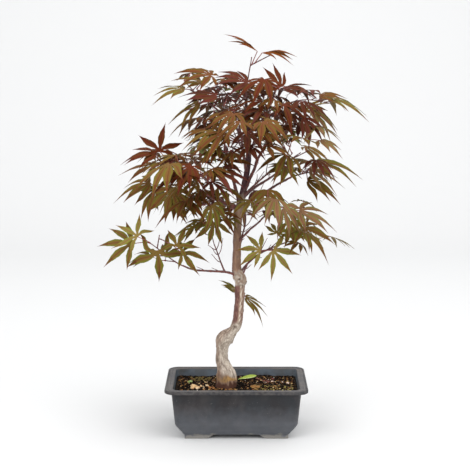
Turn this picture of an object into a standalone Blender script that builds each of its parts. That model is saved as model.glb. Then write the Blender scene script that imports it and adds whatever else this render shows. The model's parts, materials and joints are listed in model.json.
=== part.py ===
"""A Japanese maple grown as a small bonsai in a plastic training pot.

The origin is on the floor under the middle of the pot, with x to the right, y to the back and z up.
Lengths are written in millimetres and become metres where a mesh is made. Angles are in degrees.
"""

import math
import random
from collections import namedtuple

import bmesh
import bpy
from mathutils import Vector
from mathutils.bvhtree import BVHTree

MM = 0.001
GAP = 0.3

# The pot: a moulded rectangular tray with a turned-down rim on four feet
RIM_LENGTH, RIM_DEPTH = 180, 130
POT_HEIGHT = 66
RIM_OVERHANG = 8
RIM_ROUNDING = 1.2
RIM_DROP = 4
RIM_THICKNESS = 1.8
WALL = 2.2
CORNER_RADIUS = 14
CORNER_STEPS = 5
WALL_TAPER = 6
FOOT_HEIGHT = 5.7
CHAMFER_HEIGHT = 14
END_CHAMFER, SIDE_CHAMFER = 10, 6
CHAMFER_STEPS = 3
CHAMFER_BEND = 1.3
FOOT_LENGTH, FOOT_SLOPE, FOOT_WIDTH = 25, 17, 15
FOOT_SINK, FOOT_INSET = 1.0, 1.0

# The soil that fills it
SOIL_TOP = 57
SOIL_DIP = 2.2
SOIL_GAP = 0.5
SOIL_RINGS = 5

# The trunk's middle line: height, x, y and radius, from the soil up to the leader's tip
TRUNK_SIDES = 12
TRUNK_LINE = (
    (SOIL_TOP + GAP, -13.0, -6.0, 13.4),
    (66, -13.2, -5.5, 12.8),
    (74.5, -13.6, -5.0, 12.3),
    (80.5, -15.0, -4.0, 10.4),
    (87, -17.0, -3.0, 8.5),
    (95, -18.3, -2.0, 7.5),
    (107, -17.9, -1.0, 7.9),
    (115, -16.8, -1.0, 8.9),
    (121, -13.6, -1.0, 9.2),
    (127, -8.0, -1.5, 7.9),
    (132.5, -3.6, -2.0, 7.1),
    (138.5, 0.0, -2.0, 6.6),
    (147, 2.1, -3.0, 6.3),
    (168, 3.9, -3.0, 6.1),
    (189, 4.7, -2.0, 6.3),
    (197, 4.9, -1.5, 7.9),
    (204, 2.3, -1.0, 6.8),
    (212, 0.4, -0.5, 5.7),
    (247, 1.1, 1.5, 5.1),
    (276, 2.3, 1.0, 5.1),
    (288, 4.0, 0.5, 5.7),
    (297, 6.2, 1.0, 4.5),
    (327, 12.2, 3.0, 3.8),
    (350, 15.2, 4.0, 3.5),
    (374, 14.6, 4.0, 2.9),
    (400, 13.2, 3.0, 2.4),
    (424, 12.0, 2.0, 1.8),
)
FLARE_HEIGHT, FLARE_LOBES, FLARE_DEPTH = 16, 5, 0.09

# A bough springs from its parent at a height, or at a share of a parent bough's length, and ends at tip.
# rise and end_rise are its slopes above level at the root and at the tip.
Bough = namedtuple("Bough", "name parent root tip rise end_rise radius")
BOUGH_SIDES = 6
BOUGH_STEPS = 6
BOUGH_TAPER = 0.6
BOUGH_CREASE = 70
BOUGHS = (
    Bough("bough_sprig", "trunk", 181, (10, 6, 178), -10, -20, 1.3),
    Bough("bough_lower_left", "trunk", 199, (-63, -12, 214), 38, 26, 1.7),
    Bough("bough_left_riser", "bough_lower_left", 0.3, (-28, -10, 243), 64, 66, 1.1),
    Bough("bough_low_right_inner", "trunk", 196, (20, -8, 232), 62, 66, 1.2),
    Bough("bough_low_right", "trunk", 201, (50, -6, 240), 66, 20, 1.5),
    Bough("bough_low_back", "trunk", 226, (12, 52, 262), 35, 40, 1.5),
    Bough("bough_mid_right", "trunk", 243, (36, -26, 282), 48, 45, 1.6),
    Bough("bough_left", "trunk", 287, (-62, 4, 322), 20, 42, 2.8),
    Bough("bough_left_low", "bough_left", 0.6, (-74, 12, 300), -5, 20, 1.5),
    Bough("bough_left_front", "bough_left", 0.35, (-40, -40, 332), 40, 30, 1.7),
    Bough("bough_left_inner", "trunk", 262, (-34, -18, 296), 44, 40, 1.6),
    Bough("bough_left_back", "bough_left", 0.55, (-62, 52, 338), 30, 35, 1.7),
    Bough("bough_right", "trunk", 290, (68, 4, 326), 22, 24, 2.0),
    Bough("bough_right_inner", "trunk", 300, (40, -16, 334), 50, 40, 1.5),
    Bough("bough_right_back", "trunk", 296, (56, 56, 330), 45, 30, 2.0),
    Bough("bough_right_riser", "trunk", 304, (46, -6, 382), 62, 50, 2.2),
    Bough("bough_inner_left", "trunk", 292, (-16, 12, 372), 70, 74, 2.3),
    Bough("bough_back", "trunk", 330, (4, 60, 388), 48, 40, 1.9),
    Bough("bough_front", "trunk", 334, (6, -34, 366), 42, 28, 1.7),
    Bough("bough_crown", "trunk", 352, (34, -18, 398), 58, 40, 1.6),
    Bough("bough_upper_left", "trunk", 366, (-26, -8, 414), 60, 40, 1.8),
    Bough("bough_upper_right", "trunk", 380, (40, 2, 418), 52, 30, 1.7),
    Bough("bough_far_right", "bough_upper_right", 0.6, (84, -2, 424), 20, 6, 1.3),
)

# A mass of foliage grows from its bough's tip towards centre. Its side shoots and leaves stand to either side
# in the direction aim, from 0 at the right to 90 at the back. lean tips its leaves out and down,
# and face turns that lean to the front (0) or leaves it outward (None).
Mass = namedtuple("Mass", "name bough centre leaf shoots aim lean face seed")
MASSES = (
    Mass("foliage_top", "trunk", (19, 0, 477), 43, 1, 0, 0.10, None, 24),
    Mass("foliage_upper_left", "bough_upper_left", (-56, -12, 436), 45, 3, 100, 0.30, None, 28),
    Mass("foliage_upper_right", "bough_upper_right", (50, 0, 436), 44, 2, 70, 0.25, None, 32),
    Mass("foliage_far_right", "bough_far_right", (116, -6, 420), 45, 2, 90, 0.30, None, 3),
    Mass("foliage_right_shoulder", "bough_right_riser", (90, -14, 388), 44, 2, 80, 0.50, None, 35),
    Mass("foliage_front", "bough_front", (0, -80, 380), 46, 3, 10, 0.60, None, 39),
    Mass("foliage_crown", "bough_crown", (40, -44, 408), 45, 2, 20, 0.45, None, 6),
    Mass("foliage_upper_back", "bough_back", (-2, 80, 420), 46, 3, 0, 0.45, None, 0),
    Mass("foliage_inner_top", "bough_inner_left", (-30, 30, 396), 46, 2, 150, 0.40, None, 8),
    Mass("foliage_left", "bough_left", (-98, -10, 350), 46, 3, 90, 0.45, None, 15),
    Mass("foliage_left_front", "bough_left_front", (-44, -82, 336), 46, 2, 10, 0.65, None, 34),
    Mass("foliage_left_back", "bough_left_back", (-68, 78, 350), 46, 2, 40, 0.55, None, 37),
    Mass("foliage_left_low", "bough_left_low", (-104, 12, 308), 46, 3, 90, 0.55, None, 15),
    Mass("foliage_left_inner", "bough_left_inner", (-54, -36, 304), 44, 2, 60, 0.60, None, 34),
    Mass("foliage_right", "bough_right", (100, -8, 336), 46, 2, 90, 0.50, None, 23),
    Mass("foliage_right_inner", "bough_right_inner", (64, -34, 350), 44, 1, 60, 0.50, None, 22),
    Mass("foliage_right_front", "bough_mid_right", (64, -60, 292), 45, 2, 20, 0.65, None, 19),
    Mass("foliage_right_back", "bough_right_back", (74, 74, 352), 46, 3, 150, 0.55, None, 27),
    Mass("foliage_right_low", "bough_low_right", (94, -12, 256), 40, 1, 90, 0.60, None, 30),
    Mass("foliage_low_front", "bough_low_right_inner", (32, -36, 238), 31, 1, 0, 1.2, 0, 9),
    Mass("foliage_low_back", "bough_low_back", (10, 82, 284), 46, 2, 0, 0.60, None, 5),
    Mass("foliage_inner_low", "bough_left_riser", (-31, -20, 268), 36, 1, 0, 1.0, 0, 9),
    Mass("foliage_lower_left", "bough_lower_left", (-108, -20, 246), 42, 2, 0, 1.3, 0, 189),
    Mass("foliage_sprig", "bough_sprig", (11, 9, 173), 34, 0, 0, 1.0, None, 208),
)

# Twigs and leaf stalks are three-sided
STEM_RADIUS, STALK_RADIUS = 1.0, 0.62
SEVEN_LOBED = 0.5
STALK_SHARE = 0.55
SHOOT_LENGTH = 34
TRIES = 24
FIRST_SHOOT, SHOOT_STEP = 0.8, 0.27
# How much nearer to a neighbour's centre a leaf's tips may be, so that leaves interleave as real ones do,
# and how much thicker a leaf is made to see whether it stays clear of all others
SPACE_OVERLAP = 26
LEAF_CLEARANCE = 1.4

# A leaf: the turn of each lobe from the middle one, and its length as a share of the middle lobe's
LOBES = ((-128, 0.42), (-84, 0.74), (-42, 0.95), (0, 1.0), (42, 0.95), (84, 0.74), (128, 0.42))
LOBE_TURN = 21
NOTCH_DEPTH = 0.2
SHOULDER, SHOULDER_TURN = 0.47, 17.5
LEAF_SAG = 0.26
LEAF_THICKNESS = 1.9

UP = Vector((0, 0, 1))


def clear_scene():
    """Removes what the file opened with."""
    for old in list(bpy.data.objects):
        bpy.data.objects.remove(old, do_unlink=True)


def material(name, colour, roughness):
    """A Principled material from a linear colour."""
    made = bpy.data.materials.new(name)
    made.use_nodes = True
    shader = made.node_tree.nodes["Principled BSDF"]
    shader.inputs["Base Color"].default_value = (*colour, 1)
    shader.inputs["Roughness"].default_value = roughness
    shader.inputs["Metallic"].default_value = 0
    made.diffuse_color = (*colour, 1)
    return made


def mesh_object(name, points, faces, finish=None, collection=None):
    """An object from points in millimetres, with its faces turned outwards."""
    mesh = bpy.data.meshes.new(name)
    mesh.from_pydata([Vector(point) * MM for point in points], [], faces)
    shape = bmesh.new()
    shape.from_mesh(mesh)
    bmesh.ops.recalc_face_normals(shape, faces=shape.faces)
    shape.to_mesh(mesh)
    shape.free()
    if finish:
        mesh.materials.append(finish)
    made = bpy.data.objects.new(name, mesh)
    (collection or bpy.context.scene.collection).objects.link(made)
    return made


def shade(made, crease=40):
    """Shades a round piece smooth, with sharp edges where its faces meet at more than the crease angle."""
    made.data.shade_smooth()
    made.data.set_sharp_from_angle(angle=math.radians(crease))


def ring_faces(rings, count):
    """Faces of a closed stack of rings of count points each, with a face on the first and on the last."""
    faces = []
    for low in range(0, (rings - 1) * count, count):
        for i in range(count):
            after = (i + 1) % count
            faces.append((low + i, low + after, low + count + after, low + count + i))
    top = (rings - 1) * count
    return [*faces, tuple(range(count))[::-1], tuple(range(top, top + count))]


def rounded_ring(length, depth, corner, height):
    """A level rectangle with round corners."""
    points = []
    for quarter, (sx, sy) in enumerate(((1, 1), (-1, 1), (-1, -1), (1, -1))):
        for step in range(CORNER_STEPS + 1):
            turn = math.radians(90 * (quarter + step / CORNER_STEPS))
            points.append((
                sx * (length / 2 - corner) + corner * math.cos(turn),
                sy * (depth / 2 - corner) + corner * math.sin(turn),
                height,
            ))
    return points


def wall_inset(height, chamfer):
    """How far in from the rim's edge the outside of the wall is, at a height above the floor."""
    taper = WALL_TAPER * (POT_HEIGHT - height) / (POT_HEIGHT - FOOT_HEIGHT)
    down = max(0, 1 - (height - FOOT_HEIGHT) / CHAMFER_HEIGHT)
    return RIM_OVERHANG + taper + chamfer * down**CHAMFER_BEND


def wall_ring(height, inward=0.0):
    """The wall's outline at a height, moved in by a distance."""
    end, side = wall_inset(height, END_CHAMFER) + inward, wall_inset(height, SIDE_CHAMFER) + inward
    corner = max(4, CORNER_RADIUS - 0.5 * side)
    return rounded_ring(RIM_LENGTH - 2 * end, RIM_DEPTH - 2 * side, corner, height)


def wall_heights(bottom, top):
    """Heights that follow the bevelled lower edge and then the straight wall."""
    knee = FOOT_HEIGHT + CHAMFER_HEIGHT
    shares = [(step / CHAMFER_STEPS) ** 1.6 for step in range(CHAMFER_STEPS + 1)]
    return [bottom + (knee - bottom) * share for share in shares] + [top]


def rim_ring(inset, height):
    """A ring of the rim, set in from its outer edge."""
    return rounded_ring(RIM_LENGTH - 2 * inset, RIM_DEPTH - 2 * inset, CORNER_RADIUS - 0.5 * inset, height)


def pot(finish):
    """Wall, turned-down rim and floor as one stack of rings, with the feet joined on below."""
    under_rim = POT_HEIGHT - RIM_THICKNESS
    rings = [wall_ring(height) for height in wall_heights(FOOT_HEIGHT, under_rim)]
    rings += [
        rim_ring(RIM_THICKNESS, under_rim),
        rim_ring(RIM_THICKNESS, POT_HEIGHT - RIM_DROP),
        rim_ring(0, POT_HEIGHT - RIM_DROP),
        rim_ring(0.3 * RIM_ROUNDING, POT_HEIGHT - 0.7 * RIM_ROUNDING),
        rim_ring(RIM_ROUNDING, POT_HEIGHT),
        rim_ring(RIM_OVERHANG + WALL - 0.7 * RIM_ROUNDING, POT_HEIGHT),
    ]
    inner = wall_heights(FOOT_HEIGHT + WALL, POT_HEIGHT - 0.7 * RIM_ROUNDING)
    rings += [wall_ring(height, WALL) for height in reversed(inner)]
    count = len(rings[0])
    shell = mesh_object("pot", sum(rings, []), ring_faces(len(rings), count), finish)
    feet = bpy.data.collections.new("pot_feet")
    base = wall_ring(FOOT_HEIGHT)
    outer_x = max(point[0] for point in base) - FOOT_INSET
    outer_y = max(point[1] for point in base) - FOOT_INSET
    sunk = FOOT_HEIGHT + FOOT_SINK
    for sx in (-1, 1):
        for sy in (-1, 1):
            outline = [
                (outer_x, 0),
                (outer_x - FOOT_LENGTH, 0),
                (outer_x - FOOT_LENGTH - FOOT_SLOPE, sunk),
                (outer_x + 0.4, sunk),
            ]
            points = [(sx * x, sy * y, z) for y in (outer_y, outer_y - FOOT_WIDTH) for x, z in outline]
            mesh_object("pot_foot", points, ring_faces(2, len(outline)), None, feet)
    join(shell, feet)
    shade(shell)
    return shell


def soil_height(x, y, share):
    """The soil's height, level round the trunk and a little lower in seeded dips elsewhere."""
    noise = 0.5 + 0.25 * (math.sin(0.11 * x + 1.3) + math.sin(0.13 * y - 0.05 * x + 0.4))
    clear = min(1, max(0, (math.hypot(x - TRUNK_LINE[0][1], y - TRUNK_LINE[0][2]) - 26) / 20))
    return SOIL_TOP - SOIL_DIP * noise * clear * (0.55 + 0.45 * share)


def soil(finish):
    """Soil from wall to wall: rings up the pot's inside, then rings in to the middle of the surface."""
    heights = wall_heights(FOOT_HEIGHT + WALL + SOIL_GAP, SOIL_TOP - SOIL_DIP)
    rings = [wall_ring(height, WALL + SOIL_GAP) for height in heights]
    edge = rings.pop()
    for step in range(SOIL_RINGS):
        share = 1 - step / SOIL_RINGS
        rings.append([(x * share, y * share, soil_height(x * share, y * share, share)) for x, y, _ in edge])
    return mesh_object("soil", sum(rings, []), ring_faces(len(rings), len(edge)), finish)


def curve_through(points, steps):
    """A smooth curve through points, with steps pieces between each two of them."""
    ends = [2 * points[0] - points[1], *points, 2 * points[-1] - points[-2]]
    line = []
    for a, b, c, d in zip(ends, ends[1:], ends[2:], ends[3:]):
        for step in range(steps):
            t = step / steps
            bend = (2 * a - 5 * b + 4 * c - d) * t**2 + (3 * b - a - 3 * c + d) * t**3
            line.append(0.5 * (2 * b + (c - a) * t + bend))
    return [*line, points[-1]]


def sprung(start, end, start_way, end_way, steps):
    """A curve from start to end that leaves and arrives in the ways given."""
    span = (end - start).length
    line = []
    for step in range(steps + 1):
        t = step / steps
        line.append(
            (2 * t**3 - 3 * t**2 + 1) * start
            + (t**3 - 2 * t**2 + t) * span * start_way
            + (3 * t**2 - 2 * t**3) * end
            + (t**3 - t**2) * span * end_way
        )
    return line


def tube(line, radii, sides, start_way=None, swell=None):
    """Points and faces of a tapering limb round a line. Its first ring is square to start_way."""
    points = []
    way = (line[1] - line[0]).normalized()
    side = way.orthogonal().normalized()
    for i, (middle, radius) in enumerate(zip(line, radii)):
        after, before = line[min(i + 1, len(line) - 1)], line[max(i - 1, 0)]
        way = start_way if start_way and i == 0 else (after - before).normalized()
        side = (side - side.dot(way) * way).normalized()
        across = way.cross(side)
        for k in range(sides):
            turn = 2 * math.pi * k / sides
            reach = radius * (swell(middle, turn) if swell else 1)
            points.append(middle + reach * (math.cos(turn) * side + math.sin(turn) * across))
    return points, ring_faces(len(line), sides)


def compass(azimuth):
    """The level direction of a compass angle, from 0 at the right to 90 at the back."""
    return Vector((math.cos(math.radians(azimuth)), math.sin(math.radians(azimuth)), 0))


def level_way(way):
    """The level part of a direction."""
    return Vector((way.x, way.y, 0)).normalized()


def heading(way, rise):
    """The level part of a direction, lifted by rise degrees."""
    return level_way(way) * math.cos(math.radians(rise)) + UP * math.sin(math.radians(rise))


def beside(way, azimuth):
    """The direction square to way that lies nearest to a compass angle."""
    level = compass(azimuth)
    return (level - level.dot(way) * way).normalized()


class Limb:
    """A limb's middle line and its radius along it."""

    def __init__(self, name, line, radii, sides):
        self.name, self.line, self.radii, self.sides = name, line, radii, sides

    def at_share(self, share):
        """The middle line and radius at a share of the points along the limb."""
        place = share * (len(self.line) - 1)
        i = min(int(place), len(self.line) - 2)
        t = place - i
        return self.line[i].lerp(self.line[i + 1], t), self.radii[i] * (1 - t) + self.radii[i + 1] * t

    def at_height(self, height):
        """The middle line and radius at a height."""
        low = max(i for i, point in enumerate(self.line[:-1]) if point.z <= height)
        t = (height - self.line[low].z) / (self.line[low + 1].z - self.line[low].z)
        return self.at_share((low + t) / (len(self.line) - 1))

    def end_way(self):
        """The direction in which the limb ends."""
        return (self.line[-1] - self.line[-2]).normalized()

    def shell(self, grow=0.0, **how):
        """Points and faces of the limb, thicker all round by grow."""
        return tube(self.line, [radius + grow for radius in self.radii], self.sides, **how)


def flare(middle, turn):
    """How the root flare swells the trunk: low ridges that fade out just above the soil."""
    low = max(0, 1 - (middle.z - SOIL_TOP) / FLARE_HEIGHT)
    return 1 + FLARE_DEPTH * low * (0.4 + math.cos(FLARE_LOBES * turn + 0.7))


def trunk_limb():
    """The trunk from its flat cut at the soil to the leader's tip."""
    smooth = curve_through([Vector((x, y, z, r)) for z, x, y, r in TRUNK_LINE], 1)
    return Limb("trunk", [point.xyz for point in smooth], [point.w for point in smooth], TRUNK_SIDES)


def bough_limb(bough, parent):
    """A bough from its parent's middle line to its tip."""
    if parent.name == "trunk":
        start, thickness = parent.at_height(bough.root)
    else:
        start, thickness = parent.at_share(bough.root)
    tip = Vector(bough.tip)
    way = tip - start
    line = sprung(start, tip, heading(way, bough.rise), heading(way, bough.end_rise), BOUGH_STEPS)
    root_radius = min(bough.radius, 0.9 * thickness)
    radii = [root_radius * (1 - (1 - BOUGH_TAPER) * i / BOUGH_STEPS) for i in range(BOUGH_STEPS + 1)]
    return Limb(bough.name, line, radii, BOUGH_SIDES)


def cut_clear(made, cutter):
    """Cuts a bough free of its parent by the clearance that the cutter holds."""
    cut = made.modifiers.new("clear_of_parent", "BOOLEAN")
    cut.operation = "DIFFERENCE"
    cut.object = cutter


def join(body, pieces):
    """Joins a collection's objects into the body, keeps the outer skin of the result and removes them."""
    union = body.modifiers.new("join", "BOOLEAN")
    union.operation = "UNION"
    union.operand_type = "COLLECTION"
    union.collection = pieces
    graph = bpy.context.evaluated_depsgraph_get()
    joined = bpy.data.meshes.new_from_object(body.evaluated_get(graph))
    body.modifiers.clear()
    body.data = joined
    for piece in list(pieces.objects):
        bpy.data.objects.remove(piece, do_unlink=True)
    bpy.data.collections.remove(pieces)
    keep_outer_skin(joined)


def keep_outer_skin(mesh):
    """Drops loose scraps and sealed hollows, which are skins of their own beside or inside the main one."""
    shape = bmesh.new()
    shape.from_mesh(mesh)
    left, skins = set(shape.verts), []
    while left:
        skin, edge = set(), [left.pop()]
        while edge:
            vertex = edge.pop()
            skin.add(vertex)
            fresh = {line.other_vert(vertex) for line in vertex.link_edges} & left
            left -= fresh
            edge += fresh
        skins.append(skin)
    largest = max(skins, key=len)
    bmesh.ops.delete(shape, geom=[v for v in shape.verts if v not in largest], context="VERTS")
    shape.to_mesh(mesh)
    shape.free()


def leaf_shell(hub, aim, normal, size, lobes, thickness=LEAF_THICKNESS):
    """A palmate leaf: a thin star of lobes that sag from the hub, pointed above and below it."""
    across = normal.cross(aim)

    def place(reach, turn):
        x, y = reach * math.cos(math.radians(turn)), reach * math.sin(math.radians(turn))
        return hub + size * (aim * x + across * y - normal * LEAF_SAG * reach**2)

    rim = []
    for turn, share in lobes:
        notch = NOTCH_DEPTH * min(1, share + 0.15)
        wide = SHOULDER * share / math.cos(math.radians(SHOULDER_TURN))
        rim.append(place(notch, turn - LOBE_TURN))
        rim.append(place(wide, turn - SHOULDER_TURN))
        rim.append(place(share, turn))
        rim.append(place(wide, turn + SHOULDER_TURN))
    rim.append(place(NOTCH_DEPTH * min(1, lobes[-1][1] + 0.15), lobes[-1][0] + LOBE_TURN))
    half = 0.5 * thickness * normal
    points = [*rim, hub + half, hub - half]
    count = len(rim)
    faces = [(i, (i + 1) % count, count) for i in range(count)]
    faces += [((i + 1) % count, i, count + 1) for i in range(count)]
    return points, faces


class Foliage:
    """One mass of foliage: its stem, side shoots, stalks and leaves, each kept to the mass's own space."""

    def __init__(self, mass, limb, taken):
        self.mass, self.centre = mass, Vector(mass.centre)
        self.others = [Vector(other.centre) for other in MASSES if other.name != mass.name]
        self.taken, self.limb, self.pick = taken, limb, random.Random(mass.seed)
        self.shells, self.trees = [], []

    def inside(self, points, overlap=0):
        """Whether the points are nearer to this mass's centre than to any other's, or almost so."""
        for point in points:
            own = (point - self.centre).length
            if any((point - other).length < own - overlap for other in self.others):
                return False
        return True

    def clear(self, tree):
        """Whether a shape stays off every limb, every earlier mass and this mass's own earlier pieces."""
        return not any(tree.overlap(other) for other in (*self.taken, *self.trees))

    def twig(self, start, end, way, radius, taper=0.7, steps=2, start_way=None):
        """The line of a twig from start to end, and its points and faces as a three-sided tube."""
        line = sprung(start, end, way, (end - start).normalized(), steps)
        radii = [radius * (1 - (1 - taper) * i / steps) for i in range(steps + 1)]
        return line, tube(line, radii, 3, start_way)

    def leaf_on(self, node, way, azimuth):
        """Adds one leaf on its stalk where it fits, trying seeded turns and smaller sizes in order."""
        for attempt in range(TRIES):
            shrink = 0.98**attempt
            spread = math.radians(self.pick.uniform(35, 60) + attempt)
            out = beside(way, azimuth + self.pick.uniform(-1, 1) * (8 + 3 * attempt))
            start_way = way * math.cos(spread) + out * math.sin(spread)
            stalk_way = (start_way + 0.3 * UP).normalized()
            hub = node + stalk_way * STALK_SHARE * self.mass.leaf * self.pick.uniform(0.75, 1.15) * shrink
            outward = compass(self.mass.face - 90) if self.mass.face is not None else level_way(hub)
            wobble = Vector([self.pick.uniform(-0.2, 0.2) for _ in range(3)])
            normal = (UP + self.mass.lean * outward + wobble).normalized()
            away = level_way(hub - self.centre) + stalk_way
            aim = (away - away.dot(normal) * normal).normalized()
            size = self.mass.leaf * self.pick.uniform(0.85, 1.08) * shrink
            lobes = LOBES if self.pick.random() < SEVEN_LOBED else LOBES[1:-1]
            blade = leaf_shell(hub, aim, normal, size, lobes)
            _, stalk = self.twig(node, hub, start_way, STALK_RADIUS, 0.9, 1)
            if not self.inside(blade[0], SPACE_OVERLAP) or not self.inside(stalk[0][3:]):
                continue
            padded = leaf_shell(hub, aim, normal, 1.02 * size, lobes, LEAF_THICKNESS + LEAF_CLEARANCE)
            blade_tree = BVHTree.FromPolygons(*padded)
            free_stalk = self.twig(node.lerp(hub, 0.2), hub, start_way, STALK_RADIUS, 0.9, 1)[1]
            stalk_tree = BVHTree.FromPolygons(*free_stalk)
            if self.clear(blade_tree) and self.clear(stalk_tree):
                self.shells += [blade, stalk]
                self.trees += [blade_tree, stalk_tree]
                return

    def shoot(self, start, stem_way, azimuth):
        """A side shoot with a pair of leaves at its end, shortened until it fits."""
        for attempt in range(8):
            out = beside(stem_way, azimuth + self.pick.uniform(-20, 20))
            way = (0.85 * out + 0.45 * stem_way + 0.15 * UP).normalized()
            end = start + SHOOT_LENGTH * self.pick.uniform(0.75, 1.1) * 0.9**attempt * way
            line, shell = self.twig(start, end, way, 0.85 * STEM_RADIUS)
            tree = BVHTree.FromPolygons(*self.twig(start.lerp(end, 0.2), end, way, STEM_RADIUS)[1])
            if not self.inside(shell[0]) or not self.clear(tree):
                continue
            self.shells.append(shell)
            ahead = math.degrees(math.atan2(way.y, way.x))
            for side in (-90, 90):
                self.leaf_on(line[-1] - 1.2 * way, way, ahead + side)
            return

    def grow(self):
        """The stem from its limb's tip to the centre, leaves at its end and side shoots along it."""
        tip, tip_way = self.limb.line[-1], self.limb.end_way()
        start = tip + (GAP + 0.02) * tip_way
        radius = min(STEM_RADIUS, 0.95 * self.limb.radii[-1])
        line, shell = self.twig(start, self.centre, tip_way, radius, 0.6, 4, tip_way)
        self.shells.append(shell)
        stem = Limb("stem", line, [radius] * len(line), 3)
        end_way = stem.end_way()
        for side in (0, 180):
            self.leaf_on(line[-1] - 1.5 * end_way, end_way, self.mass.aim + side)
        for number in range(self.mass.shoots):
            node, _ = stem.at_share(FIRST_SHOOT - SHOOT_STEP * number)
            self.shoot(node, end_way, self.mass.aim + 180 * number + 90 * (number > 1))

    def take_space(self):
        """Adds the mass to what later masses keep clear of."""
        points, faces = [], []
        for shell_points, shell_faces in self.shells:
            faces += [tuple(i + len(points) for i in face) for face in shell_faces]
            points += shell_points
        self.taken.append(BVHTree.FromPolygons(points, faces))

    def build(self, finish):
        """The mass as one solid."""
        self.grow()
        self.take_space()
        stem = mesh_object(self.mass.name, *self.shells[0], finish)
        pieces = bpy.data.collections.new(self.mass.name + "_pieces")
        for shell in self.shells[1:]:
            mesh_object(self.mass.name + "_piece", *shell, None, pieces)
        join(stem, pieces)
        return stem


def main():
    clear_scene()
    bark = material("maple_bark", (0.26, 0.17, 0.11), 0.8)
    young_bark = material("maple_young_bark", (0.12, 0.045, 0.035), 0.6)
    leaf = material("maple_leaf", (0.09, 0.06, 0.025), 0.55)
    pot(material("black_plastic", (0.03, 0.03, 0.032), 0.5))
    soil(material("potting_soil", (0.05, 0.032, 0.02), 0.95))

    trunk = trunk_limb()
    limbs = {"trunk": trunk}
    shade(mesh_object("trunk", *trunk.shell(start_way=UP, swell=flare), bark))
    for bough in BOUGHS:
        limbs[bough.name] = bough_limb(bough, limbs[bough.parent])
    cutters = {}
    for bough in BOUGHS:
        made = mesh_object(bough.name, *limbs[bough.name].shell(), young_bark)
        shade(made, BOUGH_CREASE)
        if bough.parent not in cutters:
            cutter = mesh_object(bough.parent + "_clearance", *limbs[bough.parent].shell(grow=GAP))
            cutter.hide_render = True
            cutter.display_type = "WIRE"
            cutters[bough.parent] = cutter
        cut_clear(made, cutters[bough.parent])

    taken = [BVHTree.FromPolygons(*limb.shell(grow=2 * GAP)) for limb in limbs.values()]
    for mass in MASSES:
        Foliage(mass, limbs[mass.bough], taken).build(leaf)


if __name__ == "__main__":
    main()
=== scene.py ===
"""Looks of a Japanese maple grown as a small bonsai in a plastic training pot.

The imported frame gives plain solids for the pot, the soil, the trunk, the boughs and the masses of foliage.
Here each of them is modelled again with its real surface, and the foliage grows on from the same limbs by the
same seeded rule, carried to finer twigs and more leaves. Lengths are millimetres and angles are degrees until
a mesh is made. The origin is on the floor under the middle of the pot, with x right, y back and z up.
"""

import json
import logging
import math
import random
from collections.abc import Iterable, Sequence
from dataclasses import dataclass, field
from enum import Enum
from itertools import combinations

import bpy
import numpy as np
from bpy.types import Material, Node, NodeSocket, NodeTree
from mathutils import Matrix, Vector
from mathutils.bvhtree import BVHTree

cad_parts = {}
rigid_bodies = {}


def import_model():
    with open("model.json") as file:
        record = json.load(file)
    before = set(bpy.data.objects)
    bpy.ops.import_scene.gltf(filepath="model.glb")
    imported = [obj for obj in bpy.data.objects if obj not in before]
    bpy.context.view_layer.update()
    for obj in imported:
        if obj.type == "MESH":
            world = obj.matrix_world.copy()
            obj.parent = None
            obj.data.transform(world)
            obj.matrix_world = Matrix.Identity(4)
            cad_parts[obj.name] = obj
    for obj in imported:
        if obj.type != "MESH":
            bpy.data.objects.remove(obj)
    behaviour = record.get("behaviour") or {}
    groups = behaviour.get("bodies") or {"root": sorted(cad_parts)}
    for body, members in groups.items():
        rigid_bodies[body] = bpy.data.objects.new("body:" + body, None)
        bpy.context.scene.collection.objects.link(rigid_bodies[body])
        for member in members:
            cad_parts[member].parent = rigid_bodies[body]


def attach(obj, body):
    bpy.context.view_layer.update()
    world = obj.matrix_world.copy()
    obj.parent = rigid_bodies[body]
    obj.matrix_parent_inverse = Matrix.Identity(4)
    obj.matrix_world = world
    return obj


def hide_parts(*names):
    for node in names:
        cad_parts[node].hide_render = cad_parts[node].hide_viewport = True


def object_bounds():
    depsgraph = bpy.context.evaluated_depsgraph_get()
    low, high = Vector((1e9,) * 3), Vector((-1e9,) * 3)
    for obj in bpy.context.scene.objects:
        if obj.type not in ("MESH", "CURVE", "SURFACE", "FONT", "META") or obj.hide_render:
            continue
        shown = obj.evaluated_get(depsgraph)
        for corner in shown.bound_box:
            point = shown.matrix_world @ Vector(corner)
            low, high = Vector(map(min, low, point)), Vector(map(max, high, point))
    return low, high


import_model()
CAD_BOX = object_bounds()

log = logging.getLogger("maple")
logging.basicConfig(level=logging.INFO, format="%(name)s %(message)s")

Array = np.ndarray
MM = 0.001
UP = Vector((0, 0, 1))
BODY = "root"


def linear(colour: str) -> tuple[float, float, float, float]:
    """Turns an sRGB hex colour into linear RGBA: c/12.92 when dark, else ((c + 0.055)/1.055) to the 2.4.

    Args:
        colour: A hex colour such as "#6b4a45".

    Returns:
        Linear red, green, blue and an alpha of one.
    """
    channels = [int(colour[i:i + 2], 16) / 255 for i in (1, 3, 5)]
    red, green, blue = (c / 12.92 if c <= 0.04045 else ((c + 0.055) / 1.055) ** 2.4 for c in channels)
    return red, green, blue, 1.0


def add(tree: NodeTree, kind: str, links: dict | None = None, **settings: object) -> Node:
    """Adds a node with its settings and links.

    Args:
        tree: The node tree.
        kind: The node's type name.
        links: Input socket names or numbers, each with a value or with the output socket that feeds it.
        settings: The node's own properties.

    Returns:
        The new node.
    """
    made = tree.nodes.new(kind)
    for key, value in settings.items():
        setattr(made, key, value)
    for key, value in (links or {}).items():
        if isinstance(value, NodeSocket):
            tree.links.new(value, made.inputs[key])
        else:
            made.inputs[key].default_value = value
    return made


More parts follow.
